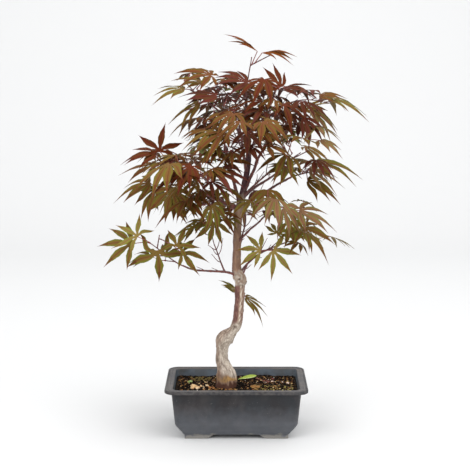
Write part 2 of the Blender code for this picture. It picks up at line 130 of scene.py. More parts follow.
@dataclass(frozen=True)
class Finish:
    """A plain finish: one colour and one roughness, as a leaf's zone or a grain of soil has."""

    name: str
    colour: str
    roughness: float = 0.5
    ior: float = 1.45
    specular: float = 0.5

    def material(self) -> Material:
        """Makes the Principled material and lets the finish add its pattern."""
        made = bpy.data.materials.new(self.name)
        made.use_nodes = True
        tree = made.node_tree
        shader = tree.nodes["Principled BSDF"]
        shader.inputs["Base Color"].default_value = linear(self.colour)
        shader.inputs["Roughness"].default_value = self.roughness
        shader.inputs["IOR"].default_value = self.ior
        shader.inputs["Specular IOR Level"].default_value = self.specular
        made.diffuse_color = linear(self.colour)
        self.pattern(tree, shader)
        return made

    def pattern(self, tree: NodeTree, shader: Node) -> None:
        """Adds nothing: a plain finish has no pattern."""

    def noise(self, tree: NodeTree, grain_mm: float, detail: float = 4, stretch: float = 1.0) -> NodeSocket:
        """Noise on Object coordinates.

        Args:
            tree: The node tree.
            grain_mm: The size of a blotch in millimetres.
            detail: How many finer octaves it holds.
            stretch: How many times taller than wide a blotch is.

        Returns:
            The noise's value socket.
        """
        place = add(tree, "ShaderNodeTexCoord").outputs["Object"]
        low = add(tree, "ShaderNodeVectorMath", {0: place, 1: (1, 1, 1 / stretch)}, operation="MULTIPLY")
        links = {"Vector": low.outputs[0], "Scale": 1 / (grain_mm * MM), "Detail": detail}
        return add(tree, "ShaderNodeTexNoise", links).outputs["Fac"]

    def blotches(self, tree: NodeTree, grain_mm: float, low: float, high: float, detail: float = 4,
                 stretch: float = 1.0, strength: float = 1.0) -> NodeSocket:
        """Soft-edged blotches of that noise: 0 where it is under low and strength where it is over high."""
        links = {0: self.noise(tree, grain_mm, detail, stretch), 1: low, 2: high, 4: strength}
        return add(tree, "ShaderNodeMapRange", links).outputs[0]

    def layered(self, tree: NodeTree, colour: str | NodeSocket,
                *layers: tuple[NodeSocket, str | NodeSocket]) -> NodeSocket:
        """Lays colours over a first one in order, each by its mask. A colour is hex or a socket."""
        for mask, over in layers:
            first, second = (linear(c) if isinstance(c, str) else c for c in (colour, over))
            mix = add(tree, "ShaderNodeMix", {0: mask, 6: first, 7: second}, data_type="RGBA")
            colour = mix.outputs[2]
        return colour

    def dress(self, tree: NodeTree, shader: Node, colour: NodeSocket, height: NodeSocket,
              depth_mm: float) -> None:
        """Gives the shader its colour and raises the shading by a height pattern that is depth_mm deep."""
        tree.links.new(colour, shader.inputs["Base Color"])
        raised = add(tree, "ShaderNodeBump", {"Height": height, "Distance": depth_mm * MM, "Strength": 1.0})
        tree.links.new(raised.outputs["Normal"], shader.inputs["Normal"])


@dataclass(frozen=True)
class MouldedPlastic(Finish):
    """Injection-moulded polypropylene: dark, satin, scuffed, pale dust low down, rim pale from wear and
    painted highlight.
    """

    scuffed: str = "#363233"
    cool: str = "#232529"
    worn: str = "#4f4b49"
    dust: str = "#7c7872"
    film: str = "#62656b"
    waver: float = 20.0
    film_height: float = 36.0
    rim_level: float = 61.0

    def pattern(self, tree: NodeTree, shader: Node) -> None:
        """Mottles the colour in 24 mm clouds, dusts it low down and raises a 0.6 mm moulding grain.

        The film of dust thins out up to film_height and the dust on the feet within a few millimetres, both
        from a level that wavers. Above rim_level the edges get pale patches, partly wear and partly painted
        highlight.
        """
        clouds = self.blotches(tree, 24, 0.40, 0.60, 3)
        smears = self.blotches(tree, 17, 0.48, 0.66, 5, 1.6, 0.7)
        place = add(tree, "ShaderNodeTexCoord").outputs["Object"]
        height = add(tree, "ShaderNodeSeparateXYZ", {0: place}).outputs["Z"]
        ragged = {0: self.noise(tree, 9, 6), 1: self.waver * MM}
        ragged = add(tree, "ShaderNodeMath", ragged, operation="MULTIPLY").outputs[0]
        level = add(tree, "ShaderNodeMath", {0: height, 1: ragged}, operation="SUBTRACT").outputs[0]
        spans = (
            (level, -0.1 * self.film_height, self.film_height, 0.72, 0.0),
            (level, -6.0, -3.5, 0.85, 0.0),
            (height, self.rim_level, self.rim_level + 1.2, 0.0, 0.7),
        )
        film, low, high = (
            add(tree, "ShaderNodeMapRange", {0: at, 1: foot * MM, 2: top * MM, 3: under, 4: over}).outputs[0]
            for at, foot, top, under, over in spans
        )
        # Pale patches above rim_level: partly wear and partly a painted highlight on the rim.
        edges = {0: high, 1: self.blotches(tree, 4, 0.38, 0.66, 6)}
        edges = add(tree, "ShaderNodeMath", edges, operation="MULTIPLY").outputs[0]
        specks = self.blotches(tree, 1.6, 0.70, 0.76, 2, strength=0.5)
        layers = (clouds, self.cool), (smears, self.scuffed), (film, self.film), (low, self.dust)
        colour = self.layered(tree, self.colour, *layers, (edges, self.worn), (specks, self.dust))
        rough = {0: clouds, 3: self.roughness - 0.06, 4: self.roughness + 0.08}
        tree.links.new(add(tree, "ShaderNodeMapRange", rough).outputs[0], shader.inputs["Roughness"])
        self.dress(tree, shader, colour, self.noise(tree, 0.6, 2), 0.05)


@dataclass(frozen=True)
class OldBark(Finish):
    """Maple bark: grey-beige and finely cracked on the foot, red-brown and smoother above.

    Where each colour lies is painted on the mesh as masks of the same names. The pale, brown, knot
    and damp masks also carry painted light and shade: paler on the right front, darker on the left back.
    """

    shade: str = "#84776a"
    dusty: str = "#968a7c"
    fleck: str = "#bfb3a5"
    young: str = "#5a3731"
    young_fleck: str = "#7c564c"
    brown: str = "#785a48"
    brown_light: str = "#92735c"
    crack: str = "#564638"
    pale: str = "#cabdad"
    knot: str = "#463428"
    stain: str = "#a9824a"
    damp: str = "#42200f"
    leader: str = "#4a2b2f"

    def pattern(self, tree: NodeTree, shader: Node) -> None:
        """Blends the bark's colours by the masks that the mesh carries, with tall 2, 5 and 14 mm mottling."""
        mottle = self.blotches(tree, 5, 0.40, 0.60, 4, 2.2)
        fleck = self.blotches(tree, 1.8, 0.46, 0.66, 4, 3.0)
        patch = self.blotches(tree, 14, 0.42, 0.60, 3, 1.6)
        grey = self.layered(tree, self.dusty, (patch, self.colour))
        old = self.layered(tree, self.shade, (mottle, grey), (fleck, self.fleck))
        over = {
            "brown": self.layered(tree, self.brown, (mottle, self.brown_light)),
            "young": self.layered(tree, self.young, (fleck, self.young_fleck)),
            **{name: getattr(self, name) for name in ("leader", "pale", "stain", "knot", "crack", "damp")},
        }
        layers = [(add(tree, "ShaderNodeAttribute", attribute_name=name).outputs["Fac"], colour)
                  for name, colour in over.items()]
        self.dress(tree, shader, self.layered(tree, old, *layers), self.noise(tree, 0.9, 4, 2.0), 0.16)


@dataclass(frozen=True)
class YoungBark(Finish):
    """Smooth young bark of boughs and twigs: purple-brown, a little glossy, with paler lenticels."""

    light: str = "#7a4a40"
    grain: float = 4.0

    def pattern(self, tree: NodeTree, shader: Node) -> None:
        """Mottles the colour along the limb and raises 1 mm wrinkles."""
        mottle = self.blotches(tree, self.grain, 0.40, 0.66)
        colour = self.layered(tree, self.colour, (mottle, self.light))
        self.dress(tree, shader, colour, self.noise(tree, 1.0, 3), 0.12)


@dataclass(frozen=True)
class PottingSoil(Finish):
    """Peat and compost: nearly black when damp, in crumbs of two browns."""

    crumb: str = "#463320"
    crumb_mm: float = 2.0

    def pattern(self, tree: NodeTree, shader: Node) -> None:
        """Mixes two browns in crumbs and raises them."""
        crumbs = self.blotches(tree, self.crumb_mm, 0.42, 0.66, 6)
        colour = self.layered(tree, self.colour, (crumbs, self.crumb))
        self.dress(tree, shader, colour, self.noise(tree, self.crumb_mm, 6), 0.8)


class Zone(Enum):
    """The parts of a leaf that have a colour of their own."""

    BASE = 0
    BLADE = 1
    MARGIN = 2
    RIB = 3
    TIP = 4
    # The underside is paler, as a real maple leaf's is, and paler still as painted light shining through the
    # leaf.
    UNDER = 5


@dataclass(frozen=True)
class LeafTint:
    """One way that a leaf of this tree is coloured, a plain colour for each zone.

    A maple leaf is thin and has a soft sheen from its wax, so its roughness is medium.
    """

    name: str
    base: str
    blade: str
    margin: str
    rib: str
    tip: str
    # The underside colour: paler as a real underside, plus painted light shining through the leaf.
    under: str
    roughness: float = 0.55

    def materials(self) -> list[Material]:
        """The leaf's materials in the order of the zones."""
        colours = (self.base, self.blade, self.margin, self.rib, self.tip, self.under)
        return [
            Finish(f"leaf_{self.name}_{zone.name.lower()}", colour, self.roughness, 1.33, 0.1).material()
            for zone, colour in zip(Zone, colours)
        ]


class Tint(Enum):
    """The leaf colourings that this tree shows."""

    ORANGE = LeafTint("orange_brown", "#6c310f", "#6e3911", "#683811", "#602e0e", "#5e240b", "#7f4d24")
    RED_BROWN = LeafTint("red_brown", "#582813", "#572714", "#513010", "#471c0d", "#4b1b0f", "#603924")
    MAUVE = LeafTint("mauve", "#582d22", "#582a1e", "#51321c", "#462119", "#4e2322", "#654439")
    DARK_PURPLE = LeafTint("dark_purple", "#471f15", "#48200f", "#432611", "#38160f", "#3f180f", "#533027")
    BRONZE = LeafTint("bronze", "#643f22", "#643c1f", "#5d481b", "#562d18", "#572b18", "#6f5238")
    OLIVE_BROWN = LeafTint("olive_brown", "#694f26", "#6a4b24", "#645821", "#5f391e", "#5f351e", "#776545")
    OLIVE = LeafTint("olive", "#705a2c", "#6c5327", "#646224", "#603f26", "#603b23", "#7b6b4a")
    YELLOW_OLIVE = LeafTint("yellow_olive", "#877440", "#7f6e3b", "#77762e", "#785a33", "#74502e", "#948b5c")
    GREEN = LeafTint("green", "#606222", "#5e5f20", "#5b661e", "#58491d", "#5a431f", "#717440")
    # Painted light: a paler, greyer copy of olive brown for leaves on the right, standing in for the light
    # that falls there.
    LIT_BROWN = LeafTint("lit_brown", "#775a40", "#78573b", "#6b6336", "#664634", "#6a4838", "#84705c")


@dataclass
class Shape:
    """Points and faces of a closed surface in millimetres, with a material number for each face."""

    points: Array
    quads: Array = field(default_factory=lambda: np.empty((0, 4), int))
    triangles: Array = field(default_factory=lambda: np.empty((0, 3), int))
    quad_slots: Array | int = 0
    triangle_slots: Array | int = 0

    @staticmethod
    def joined(shapes: Iterable["Shape"]) -> "Shape":
        """Stacks shapes into one, each one's faces counted on from the points before it."""
        shapes = list(shapes)
        starts = np.cumsum([0] + [len(shape.points) for shape in shapes[:-1]])
        quad_slots, triangle_slots = zip(*(shape.slots() for shape in shapes))
        return Shape(
            np.concatenate([shape.points for shape in shapes]),
            np.concatenate([shape.quads + start for shape, start in zip(shapes, starts)]),
            np.concatenate([shape.triangles + start for shape, start in zip(shapes, starts)]),
            np.concatenate(quad_slots),
            np.concatenate(triangle_slots),
        )

    def slots(self) -> tuple[Array, Array]:
        """The material number of each quad and of each triangle."""
        return (np.broadcast_to(self.quad_slots, len(self.quads)),
                np.broadcast_to(self.triangle_slots, len(self.triangles)))

    def count(self) -> int:
        """How many triangles the shape makes."""
        return 2 * len(self.quads) + len(self.triangles)

    def piece(self, name: str, materials: Sequence[Material], slot: str,
              replaces: Sequence[str] = (), crease: float | None = 60) -> bpy.types.Object:
        """Makes the shape a piece of the tree that rides on its body.

        Args:
            name: The piece's name.
            materials: Its materials in the order of their numbers.
            slot: The record's material slot; not used.
            replaces: The frame's nodes that it stands for.
            crease: The angle past which an edge is sharp, or None for flat faces.

        Returns:
            The new object.
        """
        mesh = bpy.data.meshes.new(name)
        mesh.vertices.add(len(self.points))
        mesh.vertices.foreach_set("co", (self.points * MM).astype(np.float32).ravel())
        loops = np.concatenate([self.quads.ravel(), self.triangles.ravel()]).astype(np.int32)
        totals = np.repeat([4, 3], [len(self.quads), len(self.triangles)]).astype(np.int32)
        mesh.loops.add(len(loops))
        mesh.loops.foreach_set("vertex_index", loops)
        mesh.polygons.add(len(totals))
        mesh.polygons.foreach_set("loop_start", (np.cumsum(totals) - totals).astype(np.int32))
        mesh.polygons.foreach_set("material_index", np.concatenate(self.slots()).astype(np.int32))
        mesh.update(calc_edges=True)
        mesh.validate()
        if crease is not None:
            mesh.shade_smooth()
            mesh.set_sharp_from_angle(angle=math.radians(crease))
        for material in materials:
            mesh.materials.append(material)
        made = bpy.data.objects.new(name, mesh)
        bpy.context.scene.collection.objects.link(made)
        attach(made, BODY)
        if replaces:
            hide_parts(*replaces)
        log.info("%s: %d triangles", name, self.count())
        return made


def paint(made: bpy.types.Object, **masks: Array) -> None:
    """Stores one number per vertex under each mask's name."""
    for name, values in masks.items():
        layer = made.data.attributes.new(name, "FLOAT", "POINT")
        layer.data.foreach_set("value", np.ascontiguousarray(values, dtype=np.float32).ravel())


def stack_faces(rings: int, count: int) -> Array:
    """Quads of a stack of closed rings: point i of a ring to i + 1, then up to the next ring."""
    ring = np.arange(rings - 1)[:, None] * count
    i = np.arange(count)[None, :]
    after = (i + 1) % count
    return np.stack([ring + i, ring + after, ring + count + after, ring + count + i], -1).reshape(-1, 4)


def stack(rings: Array) -> Shape:
    """Closes a stack of rings, an array of (rings, points, 3), with a pole in the middle of each end."""
    number, count, _ = rings.shape
    poles = np.stack([rings[0].mean(0), rings[-1].mean(0)])
    points = np.concatenate([rings.reshape(-1, 3), poles])
    i = np.arange(count)
    after = (i + 1) % count
    low = np.stack([after, i, np.full(count, number * count)], -1)
    top = (number - 1) * count
    high = np.stack([top + i, top + after, np.full(count, number * count + 1)], -1)
    return Shape(points, stack_faces(number, count), np.concatenate([low, high]))


def unit(ways: Array) -> Array:
    """Scales each vector to length one."""
    return ways / np.maximum(np.linalg.norm(ways, axis=-1, keepdims=True), 1e-9)


def run_along(line: Array) -> Array:
    """The distance along a line, or along each of many lines, up to each of its points."""
    steps = np.linalg.norm(np.diff(line, axis=-2), axis=-1)
    return np.concatenate([np.zeros((*steps.shape[:-1], 1)), np.cumsum(steps, axis=-1)], -1)


def turned(first: Array, second: Array, angle: Array) -> tuple[Array, Array]:
    """Two coordinates turned by an angle from the first towards the second."""
    cos, sin = np.cos(angle), np.sin(angle)
    return first * cos - second * sin, first * sin + second * cos


def off_side(turn: Array, side: float) -> Array:
    """How far angles in radians lie from a side in degrees, from -pi to pi."""
    return (turn - math.radians(side) + np.pi) % (2 * np.pi) - np.pi

def tubes(lines: Array, radii: Array, sides: int, axis: int | None = None) -> Array:
    """Rings of many tubes at once: each point of a line plus its radius times a turning unit vector.

    The turn starts at the axis that lies least along the line, made square to the line at each point.

    Args:
        lines: Middle lines, an array of (tubes, points, 3).
        radii: Radii, an array of (tubes, points) or (tubes, points, sides).
        sides: How many points a ring has.
        axis: The axis at which every ring starts, or None for the one that lies least along the line.

    Returns:
        Rings, an array of (tubes, points, sides, 3).
    """
    ways = unit(np.gradient(lines, axis=1))
    chords = unit(lines[:, -1] - lines[:, 0])
    least = np.argmin(np.abs(chords), axis=1) if axis is None else np.full(len(lines), axis)
    axes = np.eye(3)[least][:, None, :]
    side = unit(axes - (axes * ways).sum(-1, keepdims=True) * ways)
    across = np.cross(ways, side)
    turn = np.linspace(0, 2 * np.pi, sides, endpoint=False)
    reach = radii[..., None] if radii.ndim == 2 else radii
    wave = np.cos(turn)[:, None] * side[:, :, None, :] + np.sin(turn)[:, None] * across[:, :, None, :]
    return lines[:, :, None, :] + reach[..., None] * wave


def tube_shapes(lines: Array, radii: Array, sides: int) -> Shape:
    """Many closed tubes as one shape."""
    rings = tubes(lines, radii, sides)
    number, steps = lines.shape[:2]
    one = stack(rings[0])
    poles = np.stack([rings[:, 0].mean(1), rings[:, -1].mean(1)], 1)
    points = np.concatenate([rings.reshape(number, -1, 3), poles], 1)
    shift = (np.arange(number) * points.shape[1])[:, None, None]
    return Shape(points.reshape(-1, 3), (one.quads[None] + shift).reshape(-1, 4),
                 (one.triangles[None] + shift).reshape(-1, 3))


@dataclass(frozen=True)
class Ripple:
    """Noise on a limb: its seed, its waves round the limb, its wavelengths along it in mm and its depth."""

    seed: int
    counts: tuple[int, int]
    lengths: tuple[float, float]
    depth: float = 1.0
    number: int = 40

    def on(self, around: Array, along: Array) -> Array:
        """Seamless noise: a sum of cosines of whole counts around and set wavelengths along.

        Args:
            around: Angles in radians.
            along: Distances in millimetres.

        Returns:
            Noise with a spread of about the depth.
        """
        pick = np.random.default_rng(self.seed)
        total = np.zeros(np.broadcast(around, along).shape)
        for _ in range(self.number):
            count = pick.integers(self.counts[0], self.counts[1] + 1)
            length = pick.uniform(*self.lengths) * pick.choice([-1, 1])
            total += np.cos(count * around + 2 * np.pi * along / length + pick.uniform(0, 2 * np.pi))
        return self.depth * total / math.sqrt(self.number / 2)


def ease(low: float, high: float, values: Array) -> Array:
    """A smooth step from 0 below low to 1 above high: 3t^2 - 2t^3."""
    t = np.clip((values - low) / (high - low), 0, 1)
    return t * t * (3 - 2 * t)


@dataclass
class Pot:
    """The moulded pot: a rounded tray with a turned-down rim, a bevelled foot edge, a skirt and four feet."""

    rim_length: float = 180
    rim_depth: float = 130
    height: float = 66
    overhang: float = 8
    rim_drop: float = 4
    rim_thickness: float = 1.8
    wall: float = 2.2
    corner: float = 14
    taper: float = 6
    foot_height: float = 5.7
    chamfer_height: float = 14
    end_chamfer: float = 10
    side_chamfer: float = 6
    chamfer_bend: float = 1.3
    foot_length: float = 25
    foot_slope: float = 17
    foot_width: float = 15
    foot_inset: float = 0.8
    edge: float = 0.5
    rim_round: float = 1.3
    corner_steps: int = 12
    finish: MouldedPlastic = MouldedPlastic("moulded_polypropylene", "#1f1c1e", 0.5, 1.46, 0.42)
    # The flange top is lighter than the body: partly wear and partly a painted highlight where it faces up to
    # the light.
    flange: MouldedPlastic = MouldedPlastic("worn_flange", "#4a4644", 0.52, 1.46,
                                            scuffed="#6a625b", cool="#4f4f52")
    # The inner wall is the same plastic painted lighter and bluer: painted light and a painted cool
    # reflection.
    inside: MouldedPlastic = MouldedPlastic("inner_wall_painted_light", "#33373c", 0.5, 1.46, rim_level=90.0,
                                            scuffed="#494846", cool="#525b64")

    def ring(self, end: float, side: float, height: float) -> Array:
        """A level rectangle with round corners, set in from the rim's edge at the ends and the sides."""
        half = np.array([self.rim_length / 2 - end, self.rim_depth / 2 - side])
        corner = max(3.0, self.corner - 0.5 * side)
        quarter = np.repeat(np.arange(4), self.corner_steps + 1)
        turn = np.radians(90 * quarter + np.tile(np.linspace(0, 90, self.corner_steps + 1), 4))
        signs = np.array([(1, 1), (-1, 1), (-1, -1), (1, -1)])[quarter]
        flat = signs * (half - corner) + corner * np.stack([np.cos(turn), np.sin(turn)], -1)
        return np.concatenate([flat, np.full((len(flat), 1), height)], 1)

    def inset(self, height: Array, chamfer: float) -> Array:
        """The wall's distance in from the rim's edge: overhang, an even taper and the bevel low down."""
        share = (self.height - height) / (self.height - self.foot_height)
        down = np.maximum(0, 1 - (height - self.foot_height) / self.chamfer_height)
        return self.overhang + self.taper * share + chamfer * down**self.chamfer_bend

    def wall_rings(self, heights: Array, inward: float = 0.0) -> list[Array]:
        """The wall's outline at each height, moved in by a distance."""
        ends = self.inset(heights, self.end_chamfer) + inward
        sides = self.inset(heights, self.side_chamfer) + inward
        return [self.ring(end, side, height) for end, side, height in zip(ends, sides, heights)]

    def rim_profile(self) -> list[tuple[float, float]]:
        """Inset and height round the rim: up its skirt, over a low bead and in across the flat flange."""
        top, drop, thick, edge = self.height, self.height - self.rim_drop, self.rim_thickness, self.edge
        inner = self.overhang + self.wall
        arc = [(self.rim_round * (1 - math.sin(a)), top - self.rim_round * (1 - math.cos(a)))
               for a in np.radians((90, 60, 30, 0))]
        skirt = [
            (self.overhang - 0.3, top - thick - edge), (self.overhang - 0.9, top - thick),
            (thick + edge, top - thick), (thick, top - thick - edge), (thick, drop + 0.3),
            (thick - 0.4, drop), (edge, drop), (0.1, drop + 0.4),
        ]
        flange = [
            (2.4, top), (2.8, top - edge), (4.4, top - edge), (4.8, top - 0.05), (5.6, top - 0.05),
            (6.0, top - edge), (inner - 1.9, top - edge), (inner - 1.5, top - 0.1), (inner - 0.8, top - 0.1),
            (inner - 0.25, top - 0.35), (inner, top - 1.0),
        ]
        return [*skirt, *arc, *flange]

    def shell(self) -> Shape:
        """The tray: outside of the wall upwards, the rim, then the inside of the wall down to its floor.

        The second and third ring stand out by 0.7 mm, as a small lip above the feet.
        """
        under_rim = self.height - self.rim_thickness - 1.0
        foot = self.foot_height + np.array([0, 0.25, 1.6, 1.9])
        bevel = self.foot_height + self.chamfer_height * np.linspace(0.2, 1, 7) ** 1.1
        outer = np.concatenate([foot, bevel, np.linspace(bevel[-1] + 2, under_rim, 5)])
        inner = np.linspace(self.height - 2.2, self.foot_height + self.wall, 14)
        rings = self.wall_rings(outer)
        rings[1:3] = self.wall_rings(outer[1:3], -0.7)
        rings += [self.ring(inset, inset, height) for inset, height in self.rim_profile()]
        rings += self.wall_rings(inner, self.wall)
        shape = stack(np.stack(rings))
        ring = np.arange(len(rings) - 1)
        top = len(rings) - len(inner)
        # Zone 1, the flange top, is painted lighter, partly as a painted highlight; zone 2, the inner wall,
        # carries painted light.
        zone = np.where(ring >= top - 1, 2, np.where(ring >= top - 10, 1, 0))
        shape.quad_slots = np.repeat(zone, len(rings[0]))
        shape.triangle_slots = np.repeat([0, 2], len(rings[0]))
        return shape

    def foot(self, sx: int, sy: int) -> Shape:
        """One foot: a block under a corner whose inner end sweeps up to the floor in a half cosine.

        Args:
            sx: 1 for the right end, -1 for the left.
            sy: 1 for the back, -1 for the front.

        Returns:
            A closed shape, rounded where it meets the ground.
        """
        base = self.inset(np.array([self.foot_height]), 0)[0] + self.foot_inset
        outer_x = self.rim_length / 2 - base - self.end_chamfer
        outer_y = self.rim_depth / 2 - base - self.side_chamfer
        inner_y, edge = outer_y - self.foot_width, self.edge
        top = self.foot_height + 1.0
        sweep = np.linspace(0, 1, 9)
        slope = outer_x - self.foot_length - self.foot_slope * sweep
        x = np.concatenate([[outer_x + 0.4, outer_x, outer_x - edge], slope])
        z = np.concatenate([[top, 0.6, 0.0], top * 0.5 * (1 - np.cos(np.pi * sweep))])
        rings = []
        for lowest, y in ((edge, outer_y), (0.0, outer_y - edge), (0.0, inner_y + edge), (edge, inner_y)):
            lift = np.where(z < top - 0.1, np.maximum(z, lowest), z)
            rings.append(np.stack([sx * x, np.full_like(x, sy * y), lift], -1))
        order = slice(None) if sx * sy < 0 else slice(None, None, -1)
        return stack(np.stack(rings)[:, order])

    def build(self) -> None:
        """Makes the pot and its feet one piece."""
        feet = [self.foot(sx, sy) for sx in (-1, 1) for sy in (-1, 1)]
        whole = Shape.joined([self.shell(), *feet])
        materials = [finish.material() for finish in (self.finish, self.flange, self.inside)]
        whole.piece("pot_shell", materials, "pot_plastic", ["pot"], 38)


# The soil, the trunk's middle line, the boughs and the masses are those of the solids that the frame holds
SOIL_TOP = 57
SOIL_DIP = 2.2
TRUNK_FOOT = (-13.0, -6.0)
LEVEL_REACH = 26


def from_foot(x: Array, y: Array) -> Array:
    """The level distance from the middle of the trunk's foot."""
    return np.hypot(x - TRUNK_FOOT[0], y - TRUNK_FOOT[1])


def soil_level(x: Array, y: Array) -> Array:
    """The soil's height: level round the trunk, and a little lower in broad dips elsewhere."""
    noise = 0.5 + 0.25 * (np.sin(0.11 * x + 1.3) + np.sin(0.13 * y - 0.05 * x + 0.4))
    clear = np.clip((from_foot(x, y) - LEVEL_REACH) / 20, 0, 1)
    return SOIL_TOP - SOIL_DIP * noise * clear * (0.55 + 0.45 * np.clip(np.abs(x) / 75, 0, 1))


@dataclass(frozen=True)
class Scatter:
    """A kind of crumb on the soil: its colour, how many, where, and its half sizes in millimetres."""

    finish: Finish
    number: int
    middle: tuple[float, float] = (0.0, 0.0)
    reach: tuple[float, float] = (76.0, 51.0)
    size: tuple[float, float] = (0.5, 1.1)
    flat: float = 0.75
    long: float = 1.2


@dataclass
class Soil:
    """Damp potting soil with crumbs, bark chips, grit, a patch of moss and one fallen green leaf."""

    pot: Pot
    wall_gap: float = 0.5
    depth: float = 8.0
    rings: int = 26
    roughness: float = 0.09
    foot_reach: float = 12.5
    crumb_inset: float = 15.5
    leaf_ends: tuple[tuple[float, float, float], ...] = ((2, 25, SOIL_TOP + 1.8), (27, 33, SOIL_TOP + 4.6))
    leaf_half_width: float = 2.5
    seed: int = 5
    earth: PottingSoil = PottingSoil("damp_peat", "#1b120a", 0.9, specular=0.25)
    scatters: tuple[Scatter, ...] = (
        Scatter(Finish("black_crumb", "#140d08", 0.95, specular=0.1), 2500, size=(0.7, 1.9)),
        Scatter(Finish("brown_crumb", "#4b3420", 0.95, specular=0.1), 1400),
        Scatter(Finish("bark_crumb", "#79542e", 0.9, specular=0.2), 480, size=(0.5, 1.5), long=1.9),
        Scatter(Finish("tan_crumb", "#c4a673", 0.85), 320, size=(0.4, 1.2), long=1.7),
        Scatter(Finish("orange_crumb", "#8a522a", 0.8), 190, size=(0.4, 1.3), long=1.7),
        Scatter(Finish("pale_grit", "#dcd6ca", 0.7), 100, size=(0.4, 0.9)),
        Scatter(Finish("tan_chip", "#cdab7e", 0.8), 9, (-51, -6), (6, 5), (2.0, 4.4), 0.9, 1.4),
        Scatter(Finish("pale_chip", "#dcc09a", 0.8), 14, (-46, -10), (12, 6), (1.0, 2.4), 0.7, 1.9),
        Scatter(Finish("rust_chip", "#a36c3c", 0.8), 20, (-42, -12), (14, 7), (1.0, 2.6), 0.6, 1.7),
        Scatter(Finish("gold_chip", "#8a6230", 0.85), 16, (21, -8), (9, 8), (1.0, 3.0), 0.7, 1.6),
        Scatter(Finish("ochre_chip", "#b48a4c", 0.85), 14, (24, -6), (9, 7), (0.7, 1.8), 0.7, 1.8),
        Scatter(Finish("red_chip", "#6f4034", 0.8), 12, (38, 28), (12, 8), (1.0, 2.8), 0.6, 2.2),
        Scatter(Finish("pink_chip", "#d9bdab", 0.75), 10, (58, 24), (20, 9), (0.8, 2.6), 0.5, 1.9),
        Scatter(Finish("cork_chip", "#7d6040", 0.85), 18, (-20, 5), (50, 30), (1.4, 2.8), 0.35, 1.8),
        Scatter(Finish("moss_tuft", "#a0904e", 0.9), 480, (44, -18), (28, 20), (0.4, 1.2)),
        Scatter(Finish("dark_moss", "#64582c", 0.9), 560, (46, -16), (28, 22), (0.4, 1.2)),
        Scatter(Finish("left_moss", "#5a4d22", 0.9), 120, (-47, 36), (13, 11), (0.6, 1.8), 1.0),
        Scatter(Finish("green_sprout", "#92a561", 0.6), 4, (-60, 20), (2.0, 2), (2.4, 3.4), 0.7, 1.4),
        Scatter(Finish("foot_moss", "#8a6030", 0.85), 150, (-13, -17), (12, 6), (0.5, 1.5)),
        Scatter(Finish("shade_crumb", "#140d08", 0.95, specular=0.1),
                180, (-10, -6), (62, 12), (0.9, 2.1), 1.0),
    )

    def bed(self) -> Shape:
        """The soil's body: rings scaled in from the wall to the middle, roughened by waves of 3 to 12 mm."""
        height = np.array([SOIL_TOP - SOIL_DIP])
        edge = self.pot.wall_rings(height, self.pot.wall + self.wall_gap)[0]
        turn = np.linspace(0, 1, 220, endpoint=False)
        closed = np.concatenate([edge, edge[:1]])
        run = run_along(closed)
        outline = np.stack([np.interp(turn * run[-1], run, closed[:, k]) for k in (0, 1)], -1)
        share = np.linspace(1, 0.02, self.rings)[:, None, None]
        flat = share * outline[None]
        x, y = flat[..., 0], flat[..., 1]
        pick = np.random.default_rng(self.seed)
        rough = np.zeros_like(x)
        for _ in range(60):
            way, length = pick.uniform(0, np.pi), pick.uniform(3, 12)
            across = x * math.cos(way) + y * math.sin(way)
            rough += np.cos(2 * np.pi * across / length + pick.uniform(0, 6.3))
        top = np.concatenate([flat, (soil_level(x, y) + self.roughness * rough)[..., None]], -1)
        foot = np.concatenate([flat[0] * 0.98, np.full((len(outline), 1), SOIL_TOP - self.depth)], -1)
        return stack(np.concatenate([foot[None], top]))

    @staticmethod
    def icosahedron() -> tuple[Array, Array]:
        """Its 12 corners, the turns of (0, 1, golden ratio), and its 20 faces of three near corners."""
        golden = (1 + 5**0.5) / 2
        rectangle = unit(np.array([(s, t * golden, 0) for s in (-1, 1) for t in (-1, 1)]))
        corners = np.concatenate([np.roll(rectangle, k, 1) for k in range(3)])
        apart = np.linalg.norm(corners[:, None] - corners[None], axis=-1)
        faces = np.array([(i, j, k) for i, j, k in combinations(range(12), 3)
                          if max(apart[i, j], apart[j, k], apart[i, k]) < 1.2])
        a, b, c = np.moveaxis(corners[faces], 1, 0)
        inward = (np.cross(b - a, c - a) * a).sum(-1) < 0
        faces[inward] = faces[inward][:, ::-1]
        return corners, faces

    def crumbs(self, kind: Scatter, seed: int) -> Shape:
        """Angular grains: an icosahedron for each, with jittered corners, squashed, turned and half sunk.

        Args:
            kind: What the crumbs are and where they lie.
            seed: The seed of their draw.

        Returns:
            All crumbs of the kind as one shape.
        """
        pick = np.random.default_rng(seed)
        base, faces = self.icosahedron()
        middle = np.array(kind.middle) + pick.uniform(-1, 1, (kind.number, 2)) * kind.reach
        limits = np.array([self.pot.rim_length, self.pot.rim_depth]) / 2 - self.crumb_inset
        middle = np.clip(middle, -limits, limits)
        middle = middle[from_foot(middle[:, 0], middle[:, 1]) > self.foot_reach]
        number = len(middle)
        sizes = kind.size[0] + (kind.size[1] - kind.size[0]) * pick.random(number) ** 2
        scale = sizes[:, None] * np.array([kind.long, 1, kind.flat]) * pick.uniform(0.75, 1.25, (number, 3))
        corners = base[None] * pick.uniform(0.8, 1.2, (number, 12, 1)) * scale[:, None, :]
        yaw = pick.uniform(0, 2 * np.pi, (number, 1))
        tilt = pick.uniform(-0.5, 0.5, (number, 1))
        x, y, z = np.moveaxis(corners, -1, 0)
        x, z = turned(x, z, tilt)
        x, y = turned(x, y, yaw)
        level = soil_level(middle[:, 0], middle[:, 1]) + 0.35 * scale[:, 2]
        points = np.stack([x + middle[:, :1], y + middle[:, 1:], z + level[:, None]], -1)
        shift = (np.arange(number) * 12)[:, None, None]
        return Shape(points.reshape(-1, 3), triangles=(faces[None] + shift).reshape(-1, 3))

